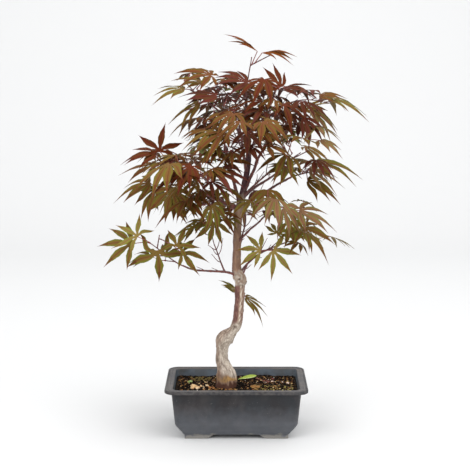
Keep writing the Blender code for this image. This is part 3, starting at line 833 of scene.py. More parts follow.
    def fallen_leaf(self) -> Shape:
        """One lobe of a green leaf, tipped to the front and a little folded: rings of a flat V on a line."""
        t = np.linspace(0.02, 0.98, 22)[:, None]
        start, end = np.array(self.leaf_ends, float)
        up = np.array([0, 0, 1])
        middle = start + (end - start) * t + up * 0.3 * np.sin(np.pi * t)
        across = unit(np.cross(up, unit(end - start)) + 0.75 * up)
        half = self.leaf_half_width * (4 * t**1.4 * (1 - t**1.4)) ** 0.8 + 0.15
        v = np.array([-1, -0.5, 0, 0.5, 1, 0.5, 0, -0.5])
        skin = np.array([0, 1, 1, 1, 0, -1, -1, -1]) * 0.16
        rise = half * 0.25 * np.abs(v) + skin
        points = middle[:, None, :] + (v * half)[..., None] * across + rise[..., None] * up
        return stack(points[:, ::-1])

    def build(self) -> None:
        """Makes the soil's body, and one piece of all the crumbs in their colours."""
        self.bed().piece("soil_bed", [self.earth.material()], "soil", ["soil"], None)
        shapes = []
        for number, kind in enumerate(self.scatters):
            shape = self.crumbs(kind, self.seed + number)
            shape.triangle_slots = number
            shapes.append(shape)
        materials = [kind.finish.material() for kind in self.scatters]
        Shape.joined(shapes).piece("soil_crumbs", materials, "soil", crease=None)
        colours = (Finish("fallen_green_leaf", "#94a83c", 0.45), Finish("fallen_leaf_margin", "#c3cf86", 0.5))
        fallen = self.fallen_leaf()
        fallen.quad_slots = (np.arange(len(fallen.quads)) % 8 >= 6).astype(int)
        fallen.piece("fallen_leaf", [colour.material() for colour in colours], "foliage")


GAP = 0.3
TRUNK_LINE = (
    (SOIL_TOP + GAP, *TRUNK_FOOT, 13.4),
    (66, -13.2, -5.5, 12.8),
    (74.5, -13.6, -5.0, 12.3),
    (80.5, -15.0, -4.0, 10.4),
    (87, -17.0, -3.0, 8.5),
    (95, -18.3, -2.0, 7.5),
    (107, -17.9, -1.0, 7.9),
    (115, -16.8, -1.0, 8.9),
    (121, -13.6, -1.0, 9.2),
    (127, -8.0, -1.5, 7.9),
    (132.5, -3.6, -2.0, 7.1),
    (138.5, 0.0, -2.0, 6.6),
    (147, 2.1, -3.0, 6.3),
    (168, 3.9, -3.0, 6.1),
    (189, 4.7, -2.0, 6.3),
    (197, 4.9, -1.5, 7.9),
    (204, 2.3, -1.0, 6.8),
    (212, 0.4, -0.5, 5.7),
    (247, 1.1, 1.5, 5.1),
    (276, 2.3, 1.0, 5.1),
    (288, 4.0, 0.5, 5.7),
    (297, 6.2, 1.0, 4.5),
    (327, 12.2, 3.0, 3.8),
    (350, 15.2, 4.0, 3.5),
    (374, 14.6, 4.0, 2.9),
    (400, 13.2, 3.0, 2.4),
    (424, 12.0, 2.0, 1.8),
)


@dataclass(frozen=True)
class Bough:
    """A bough: where it springs from, its tip, its slopes at root and tip, and its radius at the root."""

    name: str
    parent: str
    root: float
    tip: tuple[float, float, float]
    rise: float
    end_rise: float
    radius: float

    @property
    def node(self) -> str:
        """The name of its solid."""
        return f"bough_{self.name}"


BOUGH_STEPS = 6
BOUGH_TAPER = 0.6
BOUGHS = (
    Bough("sprig", "trunk", 181, (10, 6, 178), -10, -20, 1.3),
    Bough("lower_left", "trunk", 199, (-63, -12, 214), 38, 26, 1.7),
    Bough("left_riser", "lower_left", 0.3, (-28, -10, 243), 64, 66, 1.1),
    Bough("low_right_inner", "trunk", 196, (20, -8, 232), 62, 66, 1.2),
    Bough("low_right", "trunk", 201, (50, -6, 240), 66, 20, 1.5),
    Bough("low_back", "trunk", 226, (12, 52, 262), 35, 40, 1.5),
    Bough("mid_right", "trunk", 243, (36, -26, 282), 48, 45, 1.6),
    Bough("left", "trunk", 287, (-62, 4, 322), 20, 42, 2.8),
    Bough("left_low", "left", 0.6, (-74, 12, 300), -5, 20, 1.5),
    Bough("left_front", "left", 0.35, (-40, -40, 332), 40, 30, 1.7),
    Bough("left_inner", "trunk", 262, (-34, -18, 296), 44, 40, 1.6),
    Bough("left_back", "left", 0.55, (-62, 52, 338), 30, 35, 1.7),
    Bough("right", "trunk", 290, (68, 4, 326), 22, 24, 2.0),
    Bough("right_inner", "trunk", 300, (40, -16, 334), 50, 40, 1.5),
    Bough("right_back", "trunk", 296, (56, 56, 330), 45, 30, 2.0),
    Bough("right_riser", "trunk", 304, (46, -6, 382), 62, 50, 2.2),
    Bough("inner_left", "trunk", 292, (-16, 12, 372), 70, 74, 2.3),
    Bough("back", "trunk", 330, (4, 60, 388), 48, 40, 1.9),
    Bough("front", "trunk", 334, (6, -34, 366), 42, 28, 1.7),
    Bough("crown", "trunk", 352, (34, -18, 398), 58, 40, 1.6),
    Bough("upper_left", "trunk", 366, (-26, -8, 414), 60, 40, 1.8),
    Bough("upper_right", "trunk", 380, (40, 2, 418), 52, 30, 1.7),
    Bough("far_right", "upper_right", 0.6, (84, -2, 424), 20, 6, 1.3),
)


@dataclass(frozen=True)
class Mass:
    """A mass of foliage: its bough, its middle, its leaves' size and how its shoots and leaves stand.

    The first fields, and face, are those of the solids. tints are the colourings of its leaves, more and
    fill_seed say how many finer leaves grow between the first ones and by which draw.
    """

    name: str
    bough: str
    centre: tuple[float, float, float]
    leaf: float
    shoots: int
    aim: float
    lean: float
    seed: int
    tints: tuple[Tint, ...]
    more: int
    fill_seed: int
    face: float | None = None

    @property
    def node(self) -> str:
        """The name of its solid."""
        return f"foliage_{self.name}"


T = Tint
TOP_TINTS = (T.ORANGE, T.RED_BROWN)
UPPER_TINTS = (T.MAUVE, T.BRONZE, T.OLIVE_BROWN, T.DARK_PURPLE, T.RED_BROWN)
HIGH_TINTS = (T.MAUVE, T.DARK_PURPLE, T.RED_BROWN, T.DARK_PURPLE, T.RED_BROWN)
FRONT_TINTS = (T.BRONZE, T.BRONZE, T.OLIVE_BROWN, T.DARK_PURPLE, T.BRONZE)
CROWN_TINTS = (T.DARK_PURPLE, T.MAUVE, T.BRONZE, T.RED_BROWN)
MIDDLE_TINTS = (T.BRONZE, T.OLIVE_BROWN, T.RED_BROWN, T.MAUVE, T.OLIVE_BROWN)
LOW_TINTS = (T.OLIVE_BROWN, T.BRONZE, T.BRONZE, T.OLIVE)
# The right masses take the paler lit brown: painted light on the right side of the crown.
RIGHT_TINTS = (T.LIT_BROWN, T.OLIVE_BROWN, T.LIT_BROWN, T.MAUVE, T.OLIVE)
RIGHT_LOW_TINTS = (T.OLIVE_BROWN, T.LIT_BROWN, T.LIT_BROWN, T.OLIVE)
BACK_TINTS = (T.DARK_PURPLE, T.MAUVE, T.BRONZE, T.GREEN)
MASSES = (
    Mass("top", "trunk", (19, 0, 477), 43, 1, 0, 0.10, 24, TOP_TINTS, 0, 0),
    Mass("upper_left", "upper_left", (-56, -12, 436), 45, 3, 100, 0.30, 28, UPPER_TINTS, 1, 44),
    Mass("upper_right", "upper_right", (50, 0, 436), 44, 2, 70, 0.25, 32, HIGH_TINTS, 4, 6),
    Mass("far_right", "far_right", (116, -6, 420), 45, 2, 90, 0.30, 3, UPPER_TINTS, 1, 5),
    Mass("right_shoulder", "right_riser", (90, -14, 388), 44, 2, 80, 0.50, 35, RIGHT_TINTS, 7, 3),
    Mass("front", "front", (0, -80, 380), 46, 3, 10, 0.60, 39, FRONT_TINTS, 16, 7),
    Mass("crown", "crown", (40, -44, 408), 45, 2, 20, 0.45, 6, CROWN_TINTS, 14, 0),
    Mass("upper_back", "back", (-2, 80, 420), 46, 3, 0, 0.45, 0, BACK_TINTS, 16, 3),
    Mass("inner_top", "inner_left", (-30, 30, 396), 46, 2, 150, 0.40, 8, CROWN_TINTS, 4, 12),
    Mass("left", "left", (-98, -10, 350), 46, 3, 90, 0.45, 15, MIDDLE_TINTS, 1, 1),
    Mass("left_front", "left_front", (-44, -82, 336), 46, 2, 10, 0.65, 34, MIDDLE_TINTS, 14, 3),
    Mass("left_back", "left_back", (-68, 78, 350), 46, 2, 40, 0.55, 37, BACK_TINTS, 2, 4),
    Mass("left_low", "left_low", (-104, 12, 308), 46, 3, 90, 0.55, 15, LOW_TINTS, 2, 1),
    Mass("left_inner", "left_inner", (-54, -36, 304), 44, 2, 60, 0.60, 34, LOW_TINTS, 3, 0),
    Mass("right", "right", (100, -8, 336), 46, 2, 90, 0.50, 23, RIGHT_TINTS, 5, 9),
    Mass("right_inner", "right_inner", (64, -34, 350), 44, 1, 60, 0.50, 22, RIGHT_TINTS, 1, 0),
    Mass("right_front", "mid_right", (64, -60, 292), 45, 2, 20, 0.65, 19, RIGHT_LOW_TINTS, 1, 3),
    Mass("right_back", "right_back", (74, 74, 352), 46, 3, 150, 0.55, 27, BACK_TINTS, 2, 13),
    Mass("right_low", "low_right", (94, -12, 256), 40, 1, 90, 0.60, 30, RIGHT_LOW_TINTS, 10, 2),
    Mass("low_front", "low_right_inner", (32, -36, 238), 31, 1, 0, 1.2, 9, (T.YELLOW_OLIVE,), 1, 31, face=0),
    Mass("low_back", "low_back", (10, 82, 284), 46, 2, 0, 0.60, 5, BACK_TINTS, 6, 10),
    Mass("inner_low", "left_riser", (-31, -20, 268), 36, 1, 0, 1.0, 9, (T.OLIVE, T.BRONZE), 4, 14, face=0),
    Mass("lower_left", "lower_left", (-108, -20, 246), 42, 2, 0, 1.3, 189, (T.OLIVE,), 2, 8, face=0),
    Mass("sprig", "sprig", (11, 9, 173), 34, 0, 0, 1.0, 208, (T.YELLOW_OLIVE,), 0, 0),
)


@dataclass(frozen=True)
class Pose:
    """How one leaf really stands where it shows in the crown's outline.

    Leaf number index of its mass is turned to this pose, and None adds a leaf. turn is the way from its hub
    to the tip of its middle lobe as seen from the front, from 0 at the right to 90 upwards, and face is how
    far its upper side is tipped to the front: 0 is level and 90 faces the viewer. spread is how far its
    lobes stand apart, of the full star.
    """

    index: int | None
    hub: tuple[float, float, float]
    turn: float
    face: float
    size: float
    lobes: int = 5
    spread: float = 1.0
    tint: Tint | None = None


POSES = {
    "top": (
        Pose(0, (32, 0, 482), -9, 0, 42, 5, 0.6, T.ORANGE),
        Pose(1, (26, 0, 484), 158, 0, 50, 5, 0.6, T.ORANGE),
    ),
    "upper_left": (
        Pose(3, (-31, -30, 455), 178, 22, 44, 7, 0.9, T.BRONZE),
        Pose(1, (-64, -25, 438), 187, 14, 42, 5, 0.7, T.OLIVE),
        Pose(0, (-44, -5, 446), 180, 14, 38, 5, 0.75, T.OLIVE_BROWN),
        Pose(4, (-46, -18, 420), 217, 20, 42, 5, 0.65, T.OLIVE_BROWN),
        Pose(5, (-24, -40, 431), 184, 24, 46, 5, 0.6, T.MAUVE),
    ),
    "upper_right": (
        Pose(3, (12, -27, 447), 178, 20, 44, 7, 0.75, T.MAUVE),
        Pose(1, (54, -19, 440), 132, 44, 38, 5, 0.7, T.RED_BROWN),
        Pose(0, (60, 8, 438), -9, 14, 40, 5, 0.65, T.MAUVE),
    ),
    "far_right": (
        Pose(3, (102, -36, 430), -2, 18, 32, 5, 0.7, T.BRONZE),
        Pose(1, (113, -20, 429), -25, 10, 58, 5, 0.72, T.OLIVE),
        Pose(0, (87, 6, 412), 4, 14, 36, 5, 0.7, T.OLIVE_BROWN),
    ),
    "right_shoulder": (
        Pose(0, (93, -5, 412), -43, 22, 46, 5, 0.65, T.LIT_BROWN),
        Pose(3, (81, -50, 404), -51, 30, 38, 5, 0.7, T.MAUVE),
    ),
    "right": (
        Pose(0, (103, 0, 345), -18, 16, 54, 7, 0.72, T.OLIVE),
        Pose(1, (91, -29, 339), -31, 20, 46, 5, 0.65, T.LIT_BROWN),
        Pose(None, (89, -15, 324), -38, 22, 44, 5, 0.65, T.OLIVE_BROWN),
    ),
    "right_back": (
        Pose(1, (90, 67, 360), -30, 14, 38, 7, 0.75, T.OLIVE_BROWN),
    ),
    "right_inner": (
        Pose(0, (64, -31, 341), 195, 40, 30, 5, 0.8, T.LIT_BROWN),
    ),
    "right_front": (
        Pose(3, (38, -67, 318), 268, 46, 42, 5, 0.75, T.OLIVE_BROWN),
        Pose(0, (77, -59, 292), -29, 28, 50, 5, 0.8, T.LIT_BROWN),
        Pose(1, (57, -79, 298), -57, 42, 36, 5, 0.7, T.LIT_BROWN),
    ),
    "right_low": (
        Pose(0, (85, -10, 263), -33, 28, 45, 5, 0.6, T.OLIVE_BROWN),
        Pose(1, (66, -33, 275), -78, 38, 34, 5, 0.65, T.OLIVE),
    ),
    "low_front": (
        Pose(0, (45, -40, 240), -50, 76, 40, 5, 1.05, T.YELLOW_OLIVE),
        Pose(1, (30, -45, 241), 182, 70, 34, 5, 1, T.YELLOW_OLIVE),
    ),
    "inner_low": (
        Pose(0, (-28, -25, 273), 262, 50, 34, 7, 0.85, T.OLIVE),
        Pose(1, (-42, -24, 273), 200, 20, 34, 5, 0.8, T.OLIVE),
        Pose(2, (-9, -26, 277), 330, 30, 20, 5, 0.9, T.OLIVE),
    ),
    "lower_left": (
        Pose(1, (-132, -17, 245), 189, 58, 46, 5, 0.95, T.OLIVE),
        Pose(0, (-99, -22, 237), 275, 68, 43, 5, 1.7, T.OLIVE),
        Pose(2, (-74, -36, 244), 58, 62, 30, 5, 1.3, T.OLIVE),
        Pose(3, (-69, -30, 236), -15, 56, 33, 5, 1.2, T.OLIVE),
        Pose(4, (-123, -26, 255), 152, 64, 33, 5, 1.35, T.YELLOW_OLIVE),
    ),
    "left_low": (
        Pose(4, (-110, 20, 318), 206, 28, 48, 5, 0.85, T.OLIVE_BROWN),
        Pose(1, (-81, -20, 313), 258, 50, 44, 7, 0.8, T.OLIVE_BROWN),
        Pose(0, (-76, 0, 308), 288, 44, 42, 5, 0.65, T.OLIVE_BROWN),
        Pose(None, (-103, 10, 310), 236, 32, 40, 5, 0.75, T.OLIVE_BROWN),
    ),
    "left": (
        Pose(1, (-99, -28, 360), 191, 20, 44, 5, 0.65, T.RED_BROWN),
        Pose(None, (-94, -34, 362), 87, 62, 36, 5, 1.35, T.RED_BROWN),
        Pose(0, (-103, 4, 343), 205, 18, 46, 5, 0.78, T.BRONZE),
    ),
    "left_back": (
        Pose(1, (-74, 80, 346), 190, 14, 36, 5, 0.7),
    ),
    "left_inner": (
        Pose(5, (-30, -60, 299), 290, 36, 34, 5, 0.8, T.OLIVE),
    ),
    "sprig": (
        Pose(0, (12, 10, 171), -43, 14, 38, 5, 0.55, T.OLIVE),
        Pose(1, (-2, 14, 178), 144, 10, 27, 5, 0.5, T.YELLOW_OLIVE),
    ),
}

# The growth rule of the solids: stems, shoots and stalks, and the plain leaf that tests whether it has room
STEM_RADIUS, STALK_RADIUS = 1.0, 0.62
SEVEN_LOBED = 0.5
STALK_SHARE = 0.55
SHOOT_LENGTH = 34
TRIES = 24
FIRST_SHOOT, SHOOT_STEP = 0.8, 0.27
SHRINK = 0.98
STALK_ANGLE = (35, 60)
STALK_LIFT = 0.3
STALK_TAPER = 0.75
WOBBLE = 0.2
SPACE_OVERLAP = 26
LEAF_CLEARANCE = 1.4
LOBES = ((-128, 0.42), (-84, 0.74), (-42, 0.95), (0, 1.0), (42, 0.95), (84, 0.74), (128, 0.42))
LOBE_TURN = 21
NOTCH_DEPTH = 0.2
SHOULDER, SHOULDER_TURN = 0.47, 17.5
LEAF_SAG = 0.26
LEAF_THICKNESS = 1.9

# What the finer growth adds: smaller leaves that may reach further among their neighbours
FINE_OVERLAP = 40
FINE_TRIES = 14
FINE_CLEARANCE = 0.2
FINE_SIZE = (0.68, 1.0)
FINE_LEAN = 0.5
FINE_STALK = 0.8
LEVELLED = 0.45
SPREADS = (0.7, 1.0)
ALONG_STEM = (0.25, 0.98)
LONE_SHARE = 0.4
TWIGLET = (9, 26)
TWIGLET_RADIUS, TWIGLET_TAPER = 0.72, 0.75
PAIR_SIDES = (-80, 80)

# What the posed leaves add: shares of the leaf's size, and how near a leaf of the rule gives way to one
STEM_GAP, LONG_STALK, POSED_STALK = 0.35, 0.75, 0.45
POSED_LIFT, JOINT_LIFT = 0.35, 0.2
POSED_REACH = 12
DROOP_TURN, ARCH_TURN = 12, 9

PlainShape = tuple[list[Vector], list[tuple[int, ...]]]


def ring_faces(rings: int, count: int) -> list[tuple[int, ...]]:
    """Faces of a closed stack of rings of count points each, with a face on the first and on the last."""
    top = (rings - 1) * count
    ends = [tuple(range(count))[::-1], tuple(range(top, top + count))]
    return [*map(tuple, stack_faces(rings, count).tolist()), *ends]


def sprung(start: Vector, end: Vector, start_way: Vector, end_way: Vector, steps: int) -> list[Vector]:
    """A curve from start to end that leaves and arrives in the ways given: a cubic Hermite curve."""
    span = (end - start).length
    line = []
    for step in range(steps + 1):
        t = step / steps
        line.append(
            (2 * t**3 - 3 * t**2 + 1) * start
            + (t**3 - 2 * t**2 + t) * span * start_way
            + (3 * t**2 - 2 * t**3) * end
            + (t**3 - t**2) * span * end_way
        )
    return line


def plain_tube(line: list[Vector], radii: list[float], sides: int,
               start_way: Vector | None = None) -> PlainShape:
    """Points and faces of a tapering limb round a line. Its first ring is square to start_way."""
    points = []
    way = (line[1] - line[0]).normalized()
    side = way.orthogonal().normalized()
    for i, (middle, radius) in enumerate(zip(line, radii)):
        after, before = line[min(i + 1, len(line) - 1)], line[max(i - 1, 0)]
        way = start_way if start_way and i == 0 else (after - before).normalized()
        side = (side - side.dot(way) * way).normalized()
        across = way.cross(side)
        for k in range(sides):
            turn = 2 * math.pi * k / sides
            points.append(middle + radius * (math.cos(turn) * side + math.sin(turn) * across))
    return points, ring_faces(len(line), sides)


def compass(azimuth: float) -> Vector:
    """The level direction of a compass angle, from 0 at the right to 90 at the back."""
    return Vector((math.cos(math.radians(azimuth)), math.sin(math.radians(azimuth)), 0))


def level_way(way: Vector) -> Vector:
    """The level part of a direction."""
    return Vector((way.x, way.y, 0)).normalized()


def heading(way: Vector, rise: float) -> Vector:
    """The level part of a direction, lifted by rise degrees."""
    return level_way(way) * math.cos(math.radians(rise)) + UP * math.sin(math.radians(rise))


def beside(way: Vector, azimuth: float) -> Vector:
    """The direction square to way that lies nearest to a compass angle."""
    level = compass(azimuth)
    return (level - level.dot(way) * way).normalized()


def plain_leaf(hub: Vector, aim: Vector, normal: Vector, size: float, lobes: Sequence[tuple[float, float]],
               thickness: float = LEAF_THICKNESS) -> PlainShape:
    """The solids' leaf: a thin star of lobes that sag from the hub, pointed above and below it."""
    across = normal.cross(aim)

    def place(reach: float, turn: float) -> Vector:
        """The point at a reach and a turn on the sagging blade."""
        x, y = reach * math.cos(math.radians(turn)), reach * math.sin(math.radians(turn))
        return hub + size * (aim * x + across * y - normal * LEAF_SAG * reach**2)

    rim = []
    for turn, share in lobes:
        notch = NOTCH_DEPTH * min(1, share + 0.15)
        wide = SHOULDER * share / math.cos(math.radians(SHOULDER_TURN))
        rim.append(place(notch, turn - LOBE_TURN))
        rim.append(place(wide, turn - SHOULDER_TURN))
        rim.append(place(share, turn))
        rim.append(place(wide, turn + SHOULDER_TURN))
    rim.append(place(NOTCH_DEPTH * min(1, lobes[-1][1] + 0.15), lobes[-1][0] + LOBE_TURN))
    half = 0.5 * thickness * normal
    points = [*rim, hub + half, hub - half]
    count = len(rim)
    faces = [(i, (i + 1) % count, count) for i in range(count)]
    faces += [((i + 1) % count, i, count + 1) for i in range(count)]
    return points, faces


class Limb:
    """A limb's middle line and its radius along it, as the solids have them."""

    def __init__(self, name: str, line: list[Vector], radii: list[float], sides: int) -> None:
        """Keeps the line, its radii and how many sides its plain tube has."""
        self.name, self.line, self.radii, self.sides = name, line, radii, sides

    def at_share(self, share: float) -> tuple[Vector, float]:
        """The middle line and radius at a share of the points along the limb."""
        place = share * (len(self.line) - 1)
        i = min(int(place), len(self.line) - 2)
        t = place - i
        return self.line[i].lerp(self.line[i + 1], t), self.radii[i] * (1 - t) + self.radii[i + 1] * t

    def at_height(self, height: float) -> tuple[Vector, float]:
        """The middle line and radius at a height."""
        low = max(i for i, point in enumerate(self.line[:-1]) if point.z <= height)
        t = (height - self.line[low].z) / (self.line[low + 1].z - self.line[low].z)
        return self.at_share((low + t) / (len(self.line) - 1))

    def end_way(self) -> Vector:
        """The direction in which the limb ends."""
        return (self.line[-1] - self.line[-2]).normalized()

    def plain(self, grow: float = 0.0) -> PlainShape:
        """Points and faces of the limb, thicker all round by grow."""
        return plain_tube(self.line, [radius + grow for radius in self.radii], self.sides)

    def at(self, root: float) -> tuple[Vector, float]:
        """The middle line and radius at a bough's root, a height on the trunk or a share of another bough."""
        return self.at_height(root) if self.name == "trunk" else self.at_share(root)

    @staticmethod
    def trunk() -> "Limb":
        """The trunk from its flat cut at the soil to the leader's tip."""
        line = [Vector((x, y, z)) for z, x, y, _ in TRUNK_LINE]
        return Limb("trunk", line, [radius for *_, radius in TRUNK_LINE], 12)

    @staticmethod
    def bough(bough: Bough, parent: "Limb", steps: int = BOUGH_STEPS) -> "Limb":
        """A bough from its parent's middle line to its tip, in as many steps as asked."""
        start, thickness = parent.at(bough.root)
        tip = Vector(bough.tip)
        way = tip - start
        line = sprung(start, tip, heading(way, bough.rise), heading(way, bough.end_rise), steps)
        root_radius = min(bough.radius, 0.9 * thickness)
        radii = [root_radius * (1 - (1 - BOUGH_TAPER) * i / steps) for i in range(steps + 1)]
        return Limb(bough.name, line, radii, 6)


@dataclass
class Twig:
    """A stem, shoot or leaf stalk: its ends, the way it leaves, its radius and its taper."""

    start: Vector
    end: Vector
    way: Vector
    radius: float
    taper: float

    def line(self, steps: int) -> list[Vector]:
        """Its middle line, which arrives along the straight way from start to end."""
        return sprung(self.start, self.end, self.way, (self.end - self.start).normalized(), steps)


@dataclass
class Leaf:
    """A leaf's place: its hub, the way its middle lobe points, its upper side, its size and its lobes."""

    hub: Vector
    aim: Vector
    normal: Vector
    size: float
    lobes: int
    tint: Tint
    stalk: Twig
    seed: int
    shells: list[PlainShape]
    trees: list[BVHTree]
    spread: float = 1.0


class Growth:
    """The twigs and leaves of one mass, grown by the solids' rule and then filled out more finely."""

    def __init__(self, mass: Mass, limb: Limb, taken: list[BVHTree]) -> None:
        """Starts the mass's own draw and remembers what it has to keep clear of."""
        self.mass, self.centre = mass, Vector(mass.centre)
        self.others = [Vector(other.centre) for other in MASSES if other.name != mass.name]
        self.taken, self.limb, self.pick = taken, limb, random.Random(mass.seed)
        self.wood: list[PlainShape] = []
        self.wood_trees: list[BVHTree] = []
        self.twigs: list[Twig] = []
        self.leaves: list[Leaf] = []
        self.stems: list[Limb] = []
        self.grown = 0

    def inside(self, points: Iterable[Vector], overlap: float = 0) -> bool:
        """Whether the points are nearer to this mass's centre than to any other's, or almost so."""
        for point in points:
            own = (point - self.centre).length
            if any((point - other).length < own - overlap for other in self.others):
                return False
        return True

    def clear(self, tree: BVHTree) -> bool:
        """Whether a shape stays off every limb, every earlier mass and this mass's own earlier pieces."""
        own = [other for leaf in self.leaves for other in leaf.trees]
        return not any(tree.overlap(other) for other in (*self.taken, *self.wood_trees, *own))

    def twig(self, start: Vector, end: Vector, way: Vector, radius: float, taper: float = 0.7, steps: int = 2,
             start_way: Vector | None = None) -> tuple[list[Vector], PlainShape]:
        """The line of a twig from start to end, and its points and faces as a three-sided tube."""
        line = Twig(start, end, way, radius, taper).line(steps)
        radii = [radius * (1 - (1 - taper) * i / steps) for i in range(steps + 1)]
        return line, plain_tube(line, radii, 3, start_way)

    def keep_twig(self, start: Vector, end: Vector, way: Vector, radius: float, taper: float) -> None:
        """Notes a twig for the fine mesh."""
        self.twigs.append(Twig(start.copy(), end.copy(), way.copy(), radius, taper))

    def keep_leaf(self, node: Vector, way: Vector, hub: Vector, aim: Vector, normal: Vector, size: float,
                  lobes: Sequence[tuple[float, float]], shells: list[PlainShape], trees: list[BVHTree],
                  fine: bool = False, tint: Tint | None = None) -> Leaf:
        """Notes a leaf and its stalk, with its own seed for its small irregularities and its tint.

        Args:
            node: Where the stalk springs from.
            way: The way in which the stalk leaves.
            hub: Where the stalk meets the blade.
            aim: The way in which the middle lobe points.
            normal: The upper side of the blade.
            size: The length of the middle lobe.
            lobes: Each lobe's turn and its share of the size.
            shells: The plain blade and stalk, for others to keep clear of.
            trees: The same with the room that they need round them.
            fine: Whether this is one of the smaller leaves that fill the mass.
            tint: Its colouring, or None for a draw from the mass's own.

        Returns:
            The leaf.
        """
        luck = random.Random(f"{self.mass.node} {self.grown}")
        self.grown += 1
        radius = STALK_RADIUS * (FINE_STALK if fine else 1)
        stalk = Twig(node.copy(), hub.copy(), way.copy(), radius, STALK_TAPER)
        chosen = luck.choice(self.mass.tints)
        seed = luck.getrandbits(32)
        leaf = Leaf(hub, aim, normal, size, len(lobes), tint or chosen, stalk, seed, shells, trees)
        leaf.spread = luck.uniform(*SPREADS)
        self.leaves.append(leaf)
        return leaf

    def leaf_on(self, node: Vector, way: Vector, azimuth: float, fine: bool = False) -> bool:
        """Adds one leaf on its stalk where it fits, trying seeded turns and smaller sizes in order.

        Args:
            node: Where the stalk springs from.
            way: The way of the twig there.
            azimuth: The compass angle to which the leaf stands.
            fine: Whether this is one of the smaller leaves that fill the mass.

        Returns:
            Whether a leaf was added.
        """
        overlap, clearance = (FINE_OVERLAP, FINE_CLEARANCE) if fine else (SPACE_OVERLAP, LEAF_CLEARANCE)
        full = self.mass.leaf * (self.pick.uniform(*FINE_SIZE) if fine else 1)
        lean = self.mass.lean * (FINE_LEAN if fine else 1)
        for attempt in range(FINE_TRIES if fine else TRIES):
            shrink = SHRINK**attempt
            spread = math.radians(self.pick.uniform(*STALK_ANGLE) + attempt)
            out = beside(way, azimuth + self.pick.uniform(-1, 1) * (8 + 3 * attempt))
            start_way = way * math.cos(spread) + out * math.sin(spread)
            stalk_way = (start_way + STALK_LIFT * UP).normalized()
            hub = node + stalk_way * STALK_SHARE * full * self.pick.uniform(0.75, 1.15) * shrink
            outward = compass(self.mass.face - 90) if self.mass.face is not None else level_way(hub)
            wobble = Vector([self.pick.uniform(-WOBBLE, WOBBLE) for _ in range(3)])
            normal = (UP + lean * outward + wobble).normalized()
            away = level_way(hub - self.centre) + stalk_way
            aim = (away - away.dot(normal) * normal).normalized()
            size = full * self.pick.uniform(0.85, 1.08) * shrink
            lobes = LOBES if self.pick.random() < SEVEN_LOBED else LOBES[1:-1]
            blade = plain_leaf(hub, aim, normal, size, lobes)
            _, stalk = self.twig(node, hub, start_way, STALK_RADIUS, 0.9, 1)
            stalk_overlap = FINE_OVERLAP if fine else 0
            if not self.inside(blade[0], overlap) or not self.inside(stalk[0][3:], stalk_overlap):
                continue
            if fine and not in_reach(blade[0]):
                continue
            padded = plain_leaf(hub, aim, normal, 1.02 * size, lobes, LEAF_THICKNESS + clearance)
            free_stalk = self.twig(node.lerp(hub, 0.2), hub, start_way, STALK_RADIUS, 0.9, 1)[1]
            trees = [BVHTree.FromPolygons(*padded), BVHTree.FromPolygons(*free_stalk)]
            if self.clear(trees[0]) and self.clear(trees[1]):
                self.keep_leaf(node, start_way, hub, aim, normal, size, lobes, [blade, stalk], trees, fine)
                return True
        return False

    def shoot(self, start: Vector, stem_way: Vector, azimuth: float) -> None:
        """A side shoot with a pair of leaves at its end, shortened until it fits."""
        for attempt in range(8):
            out = beside(stem_way, azimuth + self.pick.uniform(-20, 20))
            way = (0.85 * out + 0.45 * stem_way + 0.15 * UP).normalized()
            end = start + SHOOT_LENGTH * self.pick.uniform(0.75, 1.1) * 0.9**attempt * way
            line, shell = self.twig(start, end, way, 0.85 * STEM_RADIUS)
            tree = BVHTree.FromPolygons(*self.twig(start.lerp(end, 0.2), end, way, STEM_RADIUS)[1])
            if not self.inside(shell[0]) or not self.clear(tree):
                continue
            self.wood.append(shell)
            self.keep_twig(start, end, way, 0.85 * STEM_RADIUS, 0.7)
            self.stems.append(Limb("shoot", line, [STEM_RADIUS] * len(line), 3))
            ahead = math.degrees(math.atan2(way.y, way.x))
            for side in (-90, 90):
                self.leaf_on(line[-1] - 1.2 * way, way, ahead + side)
            return

    def grow(self) -> None:
        """The stem from its limb's tip to the centre, leaves at its end and side shoots along it."""
        tip, tip_way = self.limb.line[-1], self.limb.end_way()
        start = tip + (GAP + 0.02) * tip_way
        radius = min(STEM_RADIUS, 0.95 * self.limb.radii[-1])
        line, shell = self.twig(start, self.centre, tip_way, radius, 0.6, 4, tip_way)
        self.wood.append(shell)
        self.keep_twig(tip - 1.5 * tip_way, self.centre, tip_way, radius, 0.6)
        stem = Limb("stem", line, [radius] * len(line), 3)
        self.stems.append(stem)
        end_way = stem.end_way()
        for side in (0, 180):
            self.leaf_on(line[-1] - 1.5 * end_way, end_way, self.mass.aim + side)
        for number in range(self.mass.shoots):
            node, _ = stem.at_share(FIRST_SHOOT - SHOOT_STEP * number)
            self.shoot(node, end_way, self.mass.aim + 180 * number + 90 * (number > 1))

